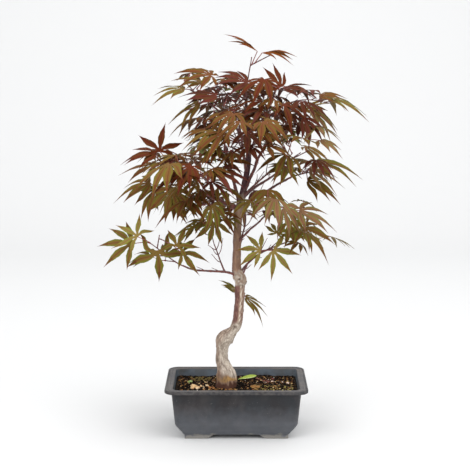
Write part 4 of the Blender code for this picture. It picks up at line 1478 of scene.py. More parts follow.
    def fill(self) -> None:
        """Finer growth: short twiglets and stalks from seeded places on the mass's own stems."""
        self.pick = random.Random(f"{self.mass.node} {self.mass.fill_seed}")
        goal = len(self.leaves) + self.mass.more
        for _ in range(10 * self.mass.more):
            if len(self.leaves) >= goal:
                return
            stem = self.pick.choice(self.stems)
            share = self.pick.uniform(*ALONG_STEM)
            node, _ = stem.at_share(share)
            way = (stem.at_share(min(1, share + 0.1))[0] - stem.at_share(share - 0.1)[0]).normalized()
            azimuth = self.pick.uniform(0, 360)
            if self.pick.random() < LONE_SHARE:
                self.leaf_on(node, way, azimuth, fine=True)
                continue
            out = (beside(way, azimuth) + 0.5 * way + 0.25 * UP).normalized()
            end = node + out * self.pick.uniform(*TWIGLET)
            tree = BVHTree.FromPolygons(*self.twig(node.lerp(end, 0.25), end, out, 0.6)[1])
            if not self.clear(tree):
                continue
            ahead = math.degrees(math.atan2(out.y, out.x))
            grown = [self.leaf_on(end - 0.8 * out, out, ahead + side, fine=True) for side in PAIR_SIDES]
            if any(grown):
                self.wood_trees.append(tree)
                self.keep_twig(node, end, out, TWIGLET_RADIUS, TWIGLET_TAPER)

    def nearest(self, place: Vector, least: float) -> Vector:
        """The point on the mass's stems that is nearest to a place, but not nearer than least."""
        points = [stem.at_share(step / 24)[0] for stem in self.stems for step in range(25)]
        far = [point for point in points if (point - place).length >= least]
        return min(far or points, key=lambda point: (point - place).length)

    def turn(self, pose: Pose, old: Leaf | None) -> None:
        """Turns a grown leaf to its pose, on a stalk from the nearest stem, with a twiglet where that is far.

        Args:
            pose: Where and how the leaf stands.
            old: The grown leaf that it was, or None for one more.
        """
        if old:
            self.leaves.remove(old)
        hub, turn, face = Vector(pose.hub), math.radians(pose.turn), math.radians(pose.face)
        turn += (math.radians(DROOP_TURN) * math.cos(face) + math.radians(ARCH_TURN)) * math.cos(turn)
        aim = Vector((math.cos(turn), 0, math.sin(turn)))
        normal = Vector((0, -math.sin(face), math.cos(face)))
        normal = (normal - normal.dot(aim) * aim).normalized()
        node = self.nearest(hub, STEM_GAP * pose.size)
        apart = (hub - node).length
        way = ((hub - node).normalized() + POSED_LIFT * UP).normalized()
        if apart > LONG_STALK * pose.size:
            joint = hub.lerp(node, POSED_STALK * pose.size / apart)
            self.keep_twig(node, joint, way, 0.8, 0.75)
            self.stems.append(Limb("twiglet", [node, joint], [0.7, 0.6], 3))
            node, way = joint, ((hub - joint).normalized() + JOINT_LIFT * UP).normalized()
        lobes = LOBES if pose.lobes == len(LOBES) else LOBES[1:-1]
        blade = plain_leaf(hub, aim, normal, pose.size, lobes)
        stalk = self.twig(node.lerp(hub, 0.2), hub, way, STALK_RADIUS, 0.9, 1)[1]
        trees = [BVHTree.FromPolygons(*blade), BVHTree.FromPolygons(*stalk)]
        shells = [blade, stalk]
        leaf = self.keep_leaf(node, way, hub, aim, normal, pose.size, lobes, shells, trees, tint=pose.tint)
        leaf.spread = pose.spread

    def space(self) -> BVHTree:
        """The mass's wood and leaves as one tree of faces, for others to keep clear of."""
        points, faces = [], []
        shells = [*self.wood, *(shell for leaf in self.leaves for shell in leaf.shells)]
        for shell_points, shell_faces in shells:
            faces += [tuple(i + len(points) for i in face) for face in shell_faces]
            points += shell_points
        return BVHTree.FromPolygons(points, faces)


def in_reach(points: Iterable[Vector], spare: float = 3.0) -> bool:
    """Whether the points lie within the solids' box and a few millimetres."""
    low, high = (Vector(corner) / MM for corner in CAD_BOX)
    return all(low[k] - spare <= p[k] <= high[k] + spare for p in points for k in range(3))


def grow_limbs() -> dict[str, Limb]:
    """The trunk and every bough by name."""
    limbs = {"trunk": Limb.trunk()}
    for bough in BOUGHS:
        limbs[bough.name] = Limb.bough(bough, limbs[bough.parent])
    return limbs


def grow_masses(limbs: dict[str, Limb]) -> list[Growth]:
    """All masses by the solids' rule, then each filled out in turn."""
    taken = [BVHTree.FromPolygons(*limb.plain(grow=2 * GAP)) for limb in limbs.values()]
    grown = []
    for mass in MASSES:
        growth = Growth(mass, limbs[mass.bough], taken)
        growth.grow()
        taken.append(growth.space())
        grown.append(growth)
    for growth in grown:
        first = list(growth.leaves)
        for pose in POSES.get(growth.mass.name, ()):
            growth.turn(pose, None if pose.index is None else first[pose.index])
        posed = [leaf for leaf in growth.leaves if leaf not in first]
        for old in [leaf for leaf in first if leaf in growth.leaves]:
            if any((old.hub - leaf.hub).length < POSED_REACH for leaf in posed):
                growth.leaves.remove(old)
                continue
            old.normal = old.normal.lerp(UP, LEVELLED).normalized()
            old.aim = (old.aim - old.aim.dot(old.normal) * old.normal).normalized()
    spaces = [growth.space() for growth in grown]
    for number, growth in enumerate(grown):
        growth.taken = [*taken[:len(limbs)], *spaces[:number], *spaces[number + 1:]]
        growth.fill()
        spaces[number] = growth.space()
    return grown


def through(points: Array, steps: int) -> Array:
    """A Catmull-Rom curve through rows of numbers: half of 2b + (c-a)t + (2a-5b+4c-d)t^2 + (3b-a-3c+d)t^3."""
    ends = np.concatenate([2 * points[:1] - points[1:2], points, 2 * points[-1:] - points[-2:-1]])
    a, b, c, d = (ends[k:len(ends) - 3 + k, None, :] for k in range(4))
    t = (np.arange(steps) / steps)[None, :, None]
    bend = (2 * a - 5 * b + 4 * c - d) * t**2 + (3 * b - a - 3 * c + d) * t**3
    curve = 0.5 * (2 * b + (c - a) * t + bend)
    return np.concatenate([curve.reshape(-1, points.shape[1]), points[-1:]])


@dataclass(frozen=True)
class Knot:
    """A knot, pruned stub or swelling on the trunk: its height, its compass side, its size and its rise."""

    height: float
    side: float
    size: float
    rise: float
    dark: float
    hollow: float = 0.0


@dataclass(frozen=True)
class Stretch:
    """A stretch of the trunk: the heights over which it begins and ends, and how ragged those ends are."""

    begins: tuple[float, float]
    ends: tuple[float, float]
    ragged: tuple[float, float] = (0, 0)


@dataclass
class Trunk:
    """The trunk with its bark: a fine mesh round the bent middle line, moved out and in by the bark's relief.

    Its grid has a row for each ring and a column for each side. Bands of colour are given by the compass side
    of their middle, half their width and the softness of their edge, all in degrees.
    """

    steps: int = 16
    sides: int = 84
    root_ring: tuple[float, ...] = (SOIL_TOP - 2.0, -13.0, -6.2, 13.2)
    flare_height: float = 16
    flare_lobes: int = 5
    flare_depth: float = 0.06
    old_until: tuple[float, float] = (130, 150)
    leader_from: tuple[float, float] = (288, 312)
    bare: Stretch = Stretch((138, 147), (187, 191), (2, 0))
    upper: Stretch = Stretch((203, 210), (292, 312), (1, 0))
    collar: Stretch = Stretch((189, 194), (203, 209), (0, 1))
    bend: Stretch = Stretch((116, 122), (134, 140))
    stained: Stretch = Stretch((SOIL_TOP + 8, SOIL_TOP + 11), (SOIL_TOP + 13, SOIL_TOP + 17), (1, 1))
    base_until: tuple[float, float] = (SOIL_TOP + 15, SOIL_TOP + 22)
    damp_until: tuple[float, float] = (SOIL_TOP + 6, SOIL_TOP + 10)
    lumps: Ripple = Ripple(1, (1, 4), (16, 44), 0.24)
    dents: Ripple = Ripple(2, (4, 9), (7, 20), 0.13)
    wrinkles: Ripple = Ripple(3, (0, 2), (1.6, 3.4), 0.10)
    fissures: Ripple = Ripple(4, (7, 20), (26, 90))
    hairs: Ripple = Ripple(5, (12, 30), (10, 34))
    clouds: Ripple = Ripple(6, (1, 5), (12, 46))
    wander: Ripple = Ripple(7, (1, 3), (8, 30), 0.05)
    scales: Ripple = Ripple(8, (4, 12), (5, 16))
    streaks: Ripple = Ripple(9, (8, 22), (14, 60))
    flutes: Ripple = Ripple(11, (5, 11), (9, 10), 0.04, 6)
    finish: OldBark = OldBark("maple_bark", "#aa9d91", 0.8)
    knots: tuple[Knot, ...] = (
        Knot(67, -25, 6.0, 1.3, 0.0),
        Knot(74, -20, 5.0, 1.4, 0.0),
        Knot(78, -75, 4.5, 0.9, 0.35),
        Knot(94, -130, 3.0, 0.5, 0.45, 0.2),
        Knot(117, 178, 4.5, 1.0, 0.3),
        Knot(121, -100, 4.0, 0.6, 0.3),
        Knot(131, 172, 7.0, -2.3, 0.0),
        Knot(108, 178, 7.0, 0.9, 0.0),
        Knot(121, 2, 8.0, 1.9, 0.0),
        Knot(136, -95, 3.6, 0.7, 0.8, 0.3),
        Knot(163, -40, 2.0, 0.4, 0.3, 0.3),
        Knot(193, -14, 2.6, 2.8, 0.9, 0.5),
        Knot(198, -96, 2.2, 0.7, 1.0, 0.8),
        Knot(190, -62, 2.4, 0.3, 0.6),
        Knot(204, -118, 2.6, 0.5, 0.5),
        Knot(199, -92, 5.0, 1.0, 0.0),
        Knot(201, 175, 3.6, 1.6, 0.2),
        Knot(226, -80, 2.0, 0.5, 0.5),
        Knot(246, -120, 2.0, 0.6, 0.4),
        Knot(264, -70, 2.0, 0.5, 0.5),
        Knot(287, -90, 4.0, 1.2, 0.15, 0.3),
        Knot(312, -60, 1.8, 0.5, 0.4),
    )

    def __post_init__(self) -> None:
        """Lays the grid: the middle line and its radii, angles round it, distances along it and heights."""
        rows = np.array([self.root_ring, *TRUNK_LINE], float)
        smooth = through(rows[:, [1, 2, 0, 3]], self.steps)
        self.line, self.radius = smooth[:, :3], smooth[:, 3:]
        self.turn = np.linspace(0, 2 * np.pi, self.sides, endpoint=False)[None, :]
        self.along = run_along(self.line)[:, None]
        self.height = self.line[:, 2:]
        self.old = 1 - ease(*self.old_until, self.height)
        self.cracks = 1 - ease(0.02, 0.34, np.abs(self.noise(self.fissures)))
        self.hair_cracks = 1 - ease(0.03, 0.30, np.abs(self.noise(self.hairs)))
        self.blotch, self.wave = self.noise(self.clouds), self.noise(self.wander)

    def noise(self, ripple: Ripple) -> Array:
        """A ripple on the trunk's grid."""
        return ripple.on(self.turn, self.along)

    def along_stretch(self, stretch: Stretch) -> Array:
        """One along a stretch of the trunk, with soft ragged ends."""
        begin, end = stretch.ragged
        rise = ease(*stretch.begins, self.height + begin * self.blotch)
        return rise * (1 - ease(*stretch.ends, self.height + end * self.blotch))

    def band(self, middle: float, half: float, soft: float) -> Array:
        """One between middle - half and middle + half degrees round the trunk, with a soft wavy edge."""
        apart = np.abs(off_side(self.turn + self.wave, middle))
        return 1 - ease(math.radians(half - soft), math.radians(half + soft), apart)

    def spot(self, level: float, side: float, size: float) -> Array:
        """A soft round spot on the trunk at a height and compass side."""
        across = off_side(self.turn, side) * 7.5
        return np.exp(-(across**2 + (self.height - level) ** 2) / size**2)

    def relief(self) -> tuple[Array, Array, Array]:
        """The bark's relief, and the masks of dark knots and of the pale callus round them.

        The relief is lumps, dents and wrinkles less the cracks, in proportion to the radius. Each knot adds a
        dome of exp(-1.4 r^2) for r times its size, less its hollow, and rings of cos(9 r) round it.
        """
        cracks = 0.24 * self.cracks + 0.10 * self.hair_cracks
        wrinkles = self.noise(self.wrinkles) * (1 - 0.6 * self.old)
        relief = self.noise(self.lumps) + self.noise(self.dents) + wrinkles
        relief += self.old * (0.10 - cracks) - (1 - self.old) * 0.10 * self.cracks
        relief *= np.clip(self.radius / 7.5, 0.4, 1.1)
        dark, callus = np.zeros_like(relief), np.zeros_like(relief)
        for knot in self.knots:
            ring = int(np.argmin(np.abs(self.height - knot.height)))
            across = off_side(self.turn, knot.side) * self.radius[ring, 0]
            off = np.hypot(across, self.along - self.along[ring]) / knot.size
            dome = np.exp(-1.4 * off**2)
            relief += knot.rise * dome - 1.6 * knot.rise * knot.hollow * np.exp(-7 * off**2)
            relief += 0.10 * np.cos(9 * off) * np.exp(-1.2 * off**2)
            dark = np.maximum(dark, knot.dark * np.exp(-2.6 * off**2.5))
            callus = np.maximum(callus, dome * (knot.rise > 0))
        return relief, dark, callus

    def masks(self, dark: Array, callus: Array) -> dict[str, Array]:
        """How strongly each of the bark's colours shows at each point.

        Args:
            dark: The mask of the knots.
            callus: The mask of the callus round them.

        Returns:
            A mask for each colour by its name.
        """
        height, old, blotch = self.height, self.old, self.blotch
        bare, upper, collar = (self.along_stretch(one) for one in (self.bare, self.upper, self.collar))
        flakes = self.noise(self.scales)
        chips, specks = ease(0.35, 0.8, flakes), ease(-0.1, 0.3, flakes)
        left = self.band(192, 74, 9)
        # lit is highest on the right front. Where it is low the foot's brown and dark bands reach higher:
        # painted shade on the left back.
        lit = np.cos(self.turn + math.radians(30))
        base = 1 - ease(*self.base_until, height + 2 * blotch + 4 * lit)
        # Besides real brown bark, the band at 205 degrees on the old bark is painted shade on its left back.
        browns = (
            bare * 0.85 + upper, 0.9 * collar * specks, 0.95 * base, 0.45 * old * self.band(205, 42, 25),
            0.8 * self.spot(195.5, -22, 4.2), 0.6 * self.band(150, 45, 20) * self.along_stretch(self.bend),
        )
        reds = (0.95 * bare * left, 0.6 * upper * self.band(170, 62, 25),
                0.45 * bare * self.band(-30, 45, 14))
        scar = 0.75 * self.band(287, 9, 6) * (0.45 + 0.55 * specks)
        # Painted light: the old bark is painted paler on the right front, the side that faces the light.
        lit_side_paling = np.cos(self.turn - math.radians(310)) + 0.3 * blotch
        pales = (
            bare * (scar + 0.3 * chips * (1 - left)),
            (0.10 * collar + 0.22 * callus) * (1 - dark) * ease(150, 180, height),
            0.42 * old * (1 - base) * ease(0.3, 1.0, lit_side_paling),
            0.55 * self.spot(201, 250, 3.6),
        )
        # The damp level also rises on the left back: real damp at the foot and painted shade.
        damp_and_shade_level = height + 1.2 * blotch + 1.3 * self.noise(self.streaks) + 1.5 * lit
        return {
            "young": sum(reds),
            "brown": np.clip(np.maximum.reduce(np.broadcast_arrays(*browns)), 0, 1),
            "pale": np.clip(np.maximum.reduce(np.broadcast_arrays(*pales)), 0, 1),
            "stain": self.along_stretch(self.stained) * (0.4 + 0.55 * self.band(-66, 40, 18)),
            "damp": 0.95 * (1 - ease(*self.damp_until, damp_and_shade_level)),
            # The knot mask also darkens the foot, less on the right front: painted shade besides the real
            # knots.
            "knot": np.maximum(dark, 0.26 * base * (1 - 0.6 * self.band(-50, 45, 20))),
            "crack": (0.15 + 0.6 * old) * np.maximum(self.cracks, 0.5 * self.hair_cracks),
            "leader": ease(*self.leader_from, height + 6 * blotch),
        }

    def build(self) -> None:
        """Makes the bark mesh, swollen to a fluted flare at its foot, and paints its masks."""
        low = np.maximum(0, 1 - (self.height - SOIL_TOP) / self.flare_height)
        swell = 1 + self.flare_depth * low * (np.cos(self.flare_lobes * self.turn + 0.7) - 0.3)
        swell = swell + low**2 * self.flutes.on(self.turn, 0 * self.along)
        relief, dark, callus = self.relief()
        reach = self.radius * swell + relief
        made = stack(tubes(self.line[None], reach[None], self.sides, axis=0)[0])
        piece = made.piece("trunk_bark", [self.finish.material()], "old_bark", ["trunk"], 75)
        masks = self.masks(dark, callus).items()
        paint(piece, **{name: np.append(np.broadcast_to(mask, reach.shape), [0, 0]) for name, mask in masks})


@dataclass
class Boughs:
    """The boughs: each on its own curve, with a collar at its root and rings where leaves once stood."""

    limbs: dict[str, Limb]
    steps: int = 60
    sides: int = 12
    ring_gap: float = 15.0
    ring_swell: float = 0.16
    collar_swell: float = 0.55
    zigzag: float = 1.1
    finish: YoungBark = YoungBark("bough_bark", "#553030", 0.5, light="#77443a")

    def build(self) -> None:
        """Makes all boughs one piece, from arrays of their middle lines and radii.

        The collar fades as exp(-d / 1.3 r) beyond the parent's bark, and the line sways from ring to ring.
        """
        fine = [Limb.bough(bough, self.limbs[bough.parent], self.steps) for bough in BOUGHS]
        lines = np.array([[tuple(point) for point in limb.line] for limb in fine])
        radii = np.array([limb.radii for limb in fine])
        inside = np.array([self.limbs[bough.parent].at(bough.root)[1] for bough in BOUGHS])[:, None]
        run = run_along(lines)
        collar = self.collar_swell * np.exp(-np.maximum(0, run - 0.8 * inside) / (1.3 * radii[:, :1]))
        phase = np.random.default_rng(7).uniform(0, self.ring_gap, (len(fine), 1))
        beat = (run + phase) % self.ring_gap - self.ring_gap / 2
        swell = self.ring_swell * np.exp(-(beat / 1.5) ** 2) * ease(4, 9, run)
        sway = np.sin(np.pi * run / run[:, -1:]) ** 2
        zigzag = np.abs(((run + phase) / self.ring_gap) % 2 - 1) - 0.5
        turn = np.random.default_rng(8).uniform(0, 2 * np.pi, (len(fine), 1))
        push = np.stack([np.cos(turn), np.sin(turn), np.full_like(turn, 0.3)], -1)
        lines = lines + (self.zigzag * sway * zigzag)[..., None] * push
        around = np.linspace(0, 2 * np.pi, self.sides, endpoint=False)[None]
        rough = [Ripple(20 + k, (1, 4), (4, 14), 0.035).on(around, one[:, None]) for k, one in enumerate(run)]
        reach = (radii * (1 + collar + swell))[..., None] * (1 + np.stack(rough))
        shape = Shape.joined(stack(one) for one in tubes(lines, reach, self.sides))
        nodes = [bough.node for bough in BOUGHS]
        shape.piece("bough_bark", [self.finish.material()], "young_bark", nodes, 75)


@dataclass
class Twigs:
    """Stems, shoots and leaf stalks of all masses, as joined round tubes that leave and arrive smoothly."""

    grown: list[Growth]
    limbs: dict[str, Limb]
    spur_seed: int = 4
    spur_length: tuple[float, float] = (6, 24)
    spur_step: tuple[float, float] = (0.12, 0.28)
    spur_chance: float = 0.6
    spur_radius: float = 0.6
    twig_steps: int = 14
    stalk_steps: int = 9
    joint_gap: float = 3.5
    bud_reach: tuple[float, ...] = (-0.9, -0.1, 0.8, 1.7, 2.4)
    bud_radii: tuple[float, ...] = (0.5, 0.95, 0.9, 0.55, 0.12)
    bark: YoungBark = YoungBark("twig_bark", "#57302f", 0.45, light="#74413a")
    stalk: Finish = Finish("leaf_stalk", "#86403a", 0.4)
    bud: Finish = Finish("bud_scale", "#7a3a34", 0.45)

    @staticmethod
    def lines(twigs: Sequence[Twig], steps: int) -> tuple[Array, Array]:
        """Middle lines of all twigs and their evenly tapering radii."""
        middle = np.array([[tuple(point) for point in twig.line(steps)] for twig in twigs])
        share = np.linspace(0, 1, steps + 1)
        return middle, np.array([twig.radius * (1 - (1 - twig.taper) * share) for twig in twigs])

    def spurs(self) -> list[Twig]:
        """Thin bare side twigs in pairs along the boughs, which lean on with the bough and upwards."""
        pick = random.Random(self.spur_seed)
        made = []
        for limb in (self.limbs[bough.name] for bough in BOUGHS[1:]):
            share = pick.uniform(0.35, 0.55)
            while share < 0.94:
                node = limb.at_share(share)[0]
                way = (limb.at_share(share + 0.05)[0] - node).normalized()
                azimuth = pick.uniform(0, 360)
                for side in (0, 180):
                    out, length = beside(way, azimuth + side), pick.uniform(*self.spur_length)
                    lean = (0.7 * out + 0.7 * way + pick.uniform(0, 0.6) * UP).normalized()
                    end = node + length * lean
                    if pick.random() < self.spur_chance and in_reach([end], 0):
                        made.append(Twig(node, end, (out + 0.4 * way).normalized(), self.spur_radius, 0.55))
                share += pick.uniform(*self.spur_step)
        return made

    def build(self) -> None:
        """Makes three pieces: the twigs, the leaf stalks and the buds at their roots."""
        woody = [twig for growth in self.grown for twig in growth.twigs] + self.spurs()
        stalks = [leaf.stalk for growth in self.grown for leaf in growth.leaves]
        middle, radius = self.lines(woody, self.twig_steps)
        knobs = 1 + 0.10 * np.cos(2 * np.pi * np.arange(self.twig_steps + 1) / self.joint_gap)
        tube_shapes(middle, radius * knobs, 8).piece("twigs", [self.bark.material()], "young_bark", crease=80)
        middle, radius = self.lines(stalks, self.stalk_steps)
        share = np.linspace(0, 1, self.stalk_steps + 1)
        radius = radius * (1 + 0.5 * np.exp(-9 * share) + 0.35 * np.exp(-14 * (1 - share)))
        tube_shapes(middle, radius, 7).piece("leaf_stalks", [self.stalk.material()], "foliage", crease=80)
        ways = unit(unit(middle[:, 1] - middle[:, 0]) + [0, 0, 0.55])
        buds = middle[:, :1] + np.array(self.bud_reach)[None, :, None] * ways[:, None]
        fat = np.broadcast_to(np.array(self.bud_radii), buds.shape[:2])
        tube_shapes(buds, fat, 7).piece("buds", [self.bud.material()], "foliage", crease=80)


@dataclass
class LeafTemplate:
    """The parts of a palmate leaf that all leaves with as many lobes share.

    Each lobe is a grid of rows out along its rib and columns across it, on an upper and an under sheet that
    meet at the margin. Inside the palm neighbouring lobes share their edge, which lies on the line that
    halves the angle between their ribs. Outside it the half width is a wide bulge that tapers to a long tip.
    """

    count: int
    palm: float = 0.11
    palm_rows: int = 2
    rows: int = 10
    columns: tuple[float, ...] = (-1.0, -0.55, -0.1, 0.1, 0.55, 1.0)
    tip_starts: tuple[float, ...] = (0.78, 0.56, 0.4, 0.56, 0.78)
    width: float = 0.108
    tail: float = 0.016
    tooth: float = 0.05
    sag: float = 0.13
    arch: float = 0.17
    ripple: float = 0.004
    half_thickness: float = 0.17
    draws: int = 12

    def __post_init__(self) -> None:
        """Lays out the rows and columns of all lobes, welds shared points and gives each face its zone.

        A point is a row of eight numbers: its lobe, its reach in the palm, t beyond the palm, its place v
        across the lobe from -1 to 1, the half angle to the neighbour, its row, its column and its sheet.
        """
        lobes = np.array(LOBES if self.count == len(LOBES) else LOBES[1:-1], float)
        self.axes, self.shares = np.radians(lobes[:, 0]), lobes[:, 1]
        gaps = np.diff(self.axes) / 2
        ends = [math.radians(LOBE_TURN)]
        halves = np.stack([np.concatenate([ends, gaps]), np.concatenate([gaps, ends])])[..., None, None]
        total = self.palm_rows + self.rows
        row, column = np.meshgrid(np.arange(total + 1), np.arange(len(self.columns)), indexing="ij")
        v = np.array(self.columns)[column]
        lobe = np.arange(self.count)[:, None, None]
        half = np.where(v < 0, halves[0], halves[1])
        palm = np.minimum(row, self.palm_rows) / self.palm_rows * self.palm
        t = 1 - (1 - np.maximum(0, row - self.palm_rows) / self.rows) ** 1.08
        outer = ((lobe == 0) & (v == -1)) | ((lobe == self.count - 1) & (v == 1))
        welded = (row == 0) | (row == total) | (np.abs(v) == 1) & ((row >= self.palm_rows) | outer)
        sheet = np.where(welded, 0, np.array([1, -1])[:, None, None, None])
        columns = np.broadcast_arrays(lobe, palm, t, v, half, row, column, sheet)
        points = np.stack(columns, -1).reshape(-1, len(columns))
        lobe, palm, t, v, half, row, column, sheet = points.T
        slant = np.arctan(v * np.tan(half))
        in_palm = np.stack([palm / np.cos(slant), self.axes[lobe.astype(int)] + slant, sheet, 0 * row], -1)
        beyond = np.stack([lobe + 10, row, column, sheet + 10], -1)
        key = np.where(t[:, None] == 0, in_palm, beyond)
        key[row == 0] = 0
        key[row == total] = np.stack([lobe + 10, row, 0 * row, 0 * row + 10], -1)[row == total]
        _, first, index = np.unique(np.round(key, 6), axis=0, return_index=True, return_inverse=True)
        self.points = points[first]
        grid = index.reshape(2, self.count, total + 1, len(self.columns))
        low, high = grid[:, :, :-1], grid[:, :, 1:]
        quads = np.stack([low[..., :-1], high[..., :-1], high[..., 1:], low[..., 1:]], -1)
        quads[1] = quads[1][..., ::-1]
        zone = np.full(quads.shape[:-1], Zone.BLADE.value)
        out = (np.arange(total)[:, None] - self.palm_rows) / self.rows
        zone[..., [0, -1]] = Zone.MARGIN.value
        zone[..., len(self.columns) // 2 - 1] = Zone.RIB.value
        zone[:, :, :self.palm_rows + 1, [0, 1, -2, -1]] = Zone.BASE.value
        zone[:, :, out >= np.array(self.tip_starts)] = Zone.TIP.value
        zone[1] = Zone.UNDER.value
        self.split(quads.reshape(-1, 4), zone.reshape(-1))

    def split(self, quads: Array, zones: Array) -> None:
        """Keeps the quads, and makes triangles of those with a doubled corner, as at the hub and tips."""
        same = quads == np.roll(quads, -1, axis=1)
        doubled = same.sum(1)
        order = (same[doubled == 1].argmax(1)[:, None] + np.arange(1, 4)) % 4
        self.quads, self.quad_zones = quads[doubled == 0], zones[doubled == 0]
        self.triangles = np.take_along_axis(quads[doubled == 1], order, 1)
        self.triangle_zones = zones[doubled == 1]

    def place(self, leaves: Sequence[Leaf]) -> Shape:
        """All leaves with this many lobes, at their places.

        Out along a rib the lobe reaches palm + t (length - palm), with its own seeded length, sideways bend,
        droop and width. The half width is the palm's edge times (1-t)^7 plus a bulge of (4s(1-s))^2.1, for s
        of t^0.74, and a slim tail, and it is held within the neighbour's sector. Heights are the sag times
        the reach squared, the droop times t^1.5, a fold that lifts the margins, fine ripples along the blade
        and half the leaf's thickness. spread turns the lobes towards the middle one beyond the palm, and a
        level lobe then hangs by the arch times its reach squared.

        Args:
            leaves: Leaves with as many lobes as the template.

        Returns:
            Their points and faces, with a material number for each tint and zone.
        """
        def each(name: str) -> Array:
            """One field of all leaves, as an array with a row for each leaf."""
            return np.array([getattr(leaf, name) for leaf in leaves])[:, None]

        lobe = self.points[:, 0].astype(int)
        base, t, v, half, row, _, sheet = self.points[:, 1:].T
        seeded = [np.random.default_rng(leaf.seed).random((self.draws, self.count)) for leaf in leaves]
        luck = iter(np.stack(seeded, 1))

        def draw(low: float, high: float, by_lobe: bool = True) -> Array:
            """One number for each leaf, or for each of its lobes and then for each point, by its seed."""
            share = next(luck)
            return low + (high - low) * (share[:, lobe] if by_lobe else share[:, :1])

        length = self.shares[lobe] * (1 + draw(-0.11, 0.11))
        along = np.where(t > 0, self.palm + t * (length - self.palm), base)
        bulge = t**0.74
        bulge = (4 * bulge * (1 - bulge)) ** 2.1
        wide = self.width * self.shares[lobe] ** 0.8 * draw(0.82, 1.16, False) * draw(0.88, 1.12)
        edge = np.tan(half)
        teeth = np.where((np.abs(v) == 1) & (t > 0), self.tooth * np.where(row % 2 == 0, 1, -1), 0)
        sleeve = self.palm * edge * (1 - t) ** 7 + wide * bulge * (1 + teeth) + self.tail * t * (1 - t) ** 0.6
        sleeve = np.where(t > 0, np.minimum(sleeve, 0.8 * along * edge), base * edge)
        off = v * sleeve
        bent = off + draw(-0.13, 0.13) * length * t**2
        droop = draw(-0.14, 0.20) + draw(0.0, 0.16, False)
        fold = draw(0.2, 0.7, False)
        twist = draw(-0.35, 0.35) * t
        height = -self.sag * (along**2 + off**2) - droop * length * t**1.5 + twist * off
        height += fold * np.abs(off) * (0.4 + 0.6 * t)
        height += self.ripple * np.sin(38 * along) * np.abs(v) * (np.abs(v) < 1) * (t > 0)
        size = each("size")
        height += sheet * self.half_thickness / size
        turn = self.axes[lobe] * (1 - (1 - each("spread")) * ease(0, 0.6, along))
        turn = turn + draw(-0.10, 0.10) * np.minimum(1, along / 0.3)
        x, y = turned(along, bent, turn)
        aim, normal = each("aim"), each("normal")
        across = np.cross(normal, aim)
        local = x[..., None] * aim + y[..., None] * across + height[..., None] * normal
        rise = np.cos(turn) * aim[..., 2] + np.sin(turn) * across[..., 2]
        local[..., 2] -= self.arch * along**2 * np.sqrt(1 - np.minimum(1, rise**2))
        points = each("hub") + size[..., None] * local
        shift = (np.arange(len(leaves)) * len(self.points))[:, None, None]
        tints = list(Tint)
        tint = np.array([len(Zone) * tints.index(leaf.tint) for leaf in leaves])[:, None]
        return Shape(points.reshape(-1, 3), (self.quads + shift).reshape(-1, 4),
                     (self.triangles + shift).reshape(-1, 3),
                     (tint + self.quad_zones).reshape(-1), (tint + self.triangle_zones).reshape(-1))


@dataclass
class Leaves:
    """All leaves, in one piece for each region of the crown."""

    grown: list[Growth]
    regions: int = 4

    def build(self) -> None:
        """Places the leaves of each region by the two templates and gives them their tints."""
        templates = {count: LeafTemplate(count) for count in (5, 7)}
        materials = [material for tint in Tint for material in tint.value.materials()]
        groups = [self.grown[k::self.regions] for k in range(self.regions)]
        for number, group in enumerate(groups):
            leaves = [leaf for growth in group for leaf in growth.leaves]
            shapes = [template.place([leaf for leaf in leaves if leaf.lobes == count])
                      for count, template in templates.items()]
            names = [growth.mass.node for growth in group]
            shape = Shape.joined(shapes)
            shape.piece(f"leaves_{number + 1}", materials, "foliage", names, 50)
        log.info("%d leaves", sum(len(growth.leaves) for growth in self.grown))


@dataclass(frozen=True)
class Lamp:
    """A square soft light, in metres and watts, aimed at the middle of the tree unless told otherwise."""

    name: str
    place: tuple[float, float, float]
    size: float
    power: float
    aim: tuple[float, float, float] = (0, 0, 0.25)

    def build(self) -> None:
        """Makes the light."""
        data = bpy.data.lights.new(self.name, "AREA")
        data.size, data.energy = self.size, self.power
        made = bpy.data.objects.new(self.name, data)
        made.location = self.place
        made.rotation_euler = (Vector(self.aim) - Vector(self.place)).to_track_quat("-Z", "Y").to_euler()
        bpy.context.scene.collection.objects.link(made)


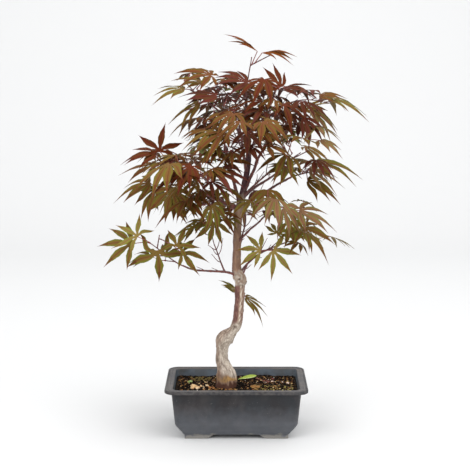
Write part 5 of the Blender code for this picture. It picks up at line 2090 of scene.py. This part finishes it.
@dataclass
class Studio:
    """A pale sheet that curves up behind the tree, even white light and the camera of the photograph."""

    sheet_back: float = 1.45
    sheet_half: float = 4.5
    sheet_front: float = -2.6
    sheet_height: float = 3.2
    bend: float = 1.0
    paper: Finish = Finish("pale_paper", "#d3d3d3", 0.95, specular=0.1)
    lamps: tuple[Lamp, ...] = (
        Lamp("window_left", (-1.3, -1.7, 1.6), 1.8, 26),
        Lamp("window_right", (1.5, -1.2, 1.3), 1.6, 19),
        Lamp("soft_top", (0.3, -0.3, 2.3), 2.0, 27),
        Lamp("wall_wash", (0, 1.2, 1.9), 1.0, 4, (0, 2.6, 1.1)),
    )
    surround: tuple[float, float, float, float] = (0.98, 0.99, 1.0, 1)
    surround_strength: float = 1.04
    eye: tuple[float, float, float] = (-0.0017, -1.5886, 0.4847)
    look_down: float = 8.283
    lens: float = 96.97
    sensor: float = 36

    def backdrop(self) -> None:
        """The sheet: level in front, a quarter round behind, then upright."""
        arc = np.radians(np.linspace(0, 90, 16))
        wall = self.sheet_back + self.bend
        y = np.concatenate([[self.sheet_front, 0], self.sheet_back + self.bend * np.sin(arc), [wall]])
        z = np.concatenate([[0, 0], self.bend * (1 - np.cos(arc)), [self.sheet_height]])
        count = len(y)
        left = np.stack([np.full(count, -self.sheet_half), y, z], -1)
        faces = [(i, i + 1, count + i + 1, count + i)[::-1] for i in range(count - 1)]
        mesh = bpy.data.meshes.new("backdrop")
        mesh.from_pydata(np.concatenate([left, left * (-1, 1, 1)]).tolist(), [], faces)
        mesh.shade_smooth()
        mesh.materials.append(self.paper.material())
        made = bpy.data.objects.new("backdrop", mesh)
        bpy.context.scene.collection.objects.link(made)

    def build(self) -> None:
        """Makes the sheet, the lights, the even surround and the camera."""
        self.backdrop()
        for lamp in self.lamps:
            lamp.build()
        world = bpy.data.worlds.new("even_white")
        world.use_nodes = True
        ground = world.node_tree.nodes["Background"]
        ground.inputs["Color"].default_value = self.surround
        ground.inputs["Strength"].default_value = self.surround_strength
        scene = bpy.context.scene
        scene.world = world
        scene.view_settings.view_transform = "Standard"
        data = bpy.data.cameras.new("camera")
        data.lens, data.sensor_width = self.lens, self.sensor
        camera = bpy.data.objects.new("camera", data)
        camera.location = self.eye
        camera.rotation_euler = (math.radians(90 - self.look_down), 0, 0)
        scene.collection.objects.link(camera)
        scene.camera = camera


def main() -> None:
    """Builds every sub-assembly in order."""
    pot = Pot()
    pot.build()
    Soil(pot).build()
    limbs = grow_limbs()
    Trunk().build()
    Boughs(limbs).build()
    grown = grow_masses(limbs)
    Twigs(grown, limbs).build()
    Leaves(grown).build()
    Studio().build()


if __name__ == "__main__":
    main()
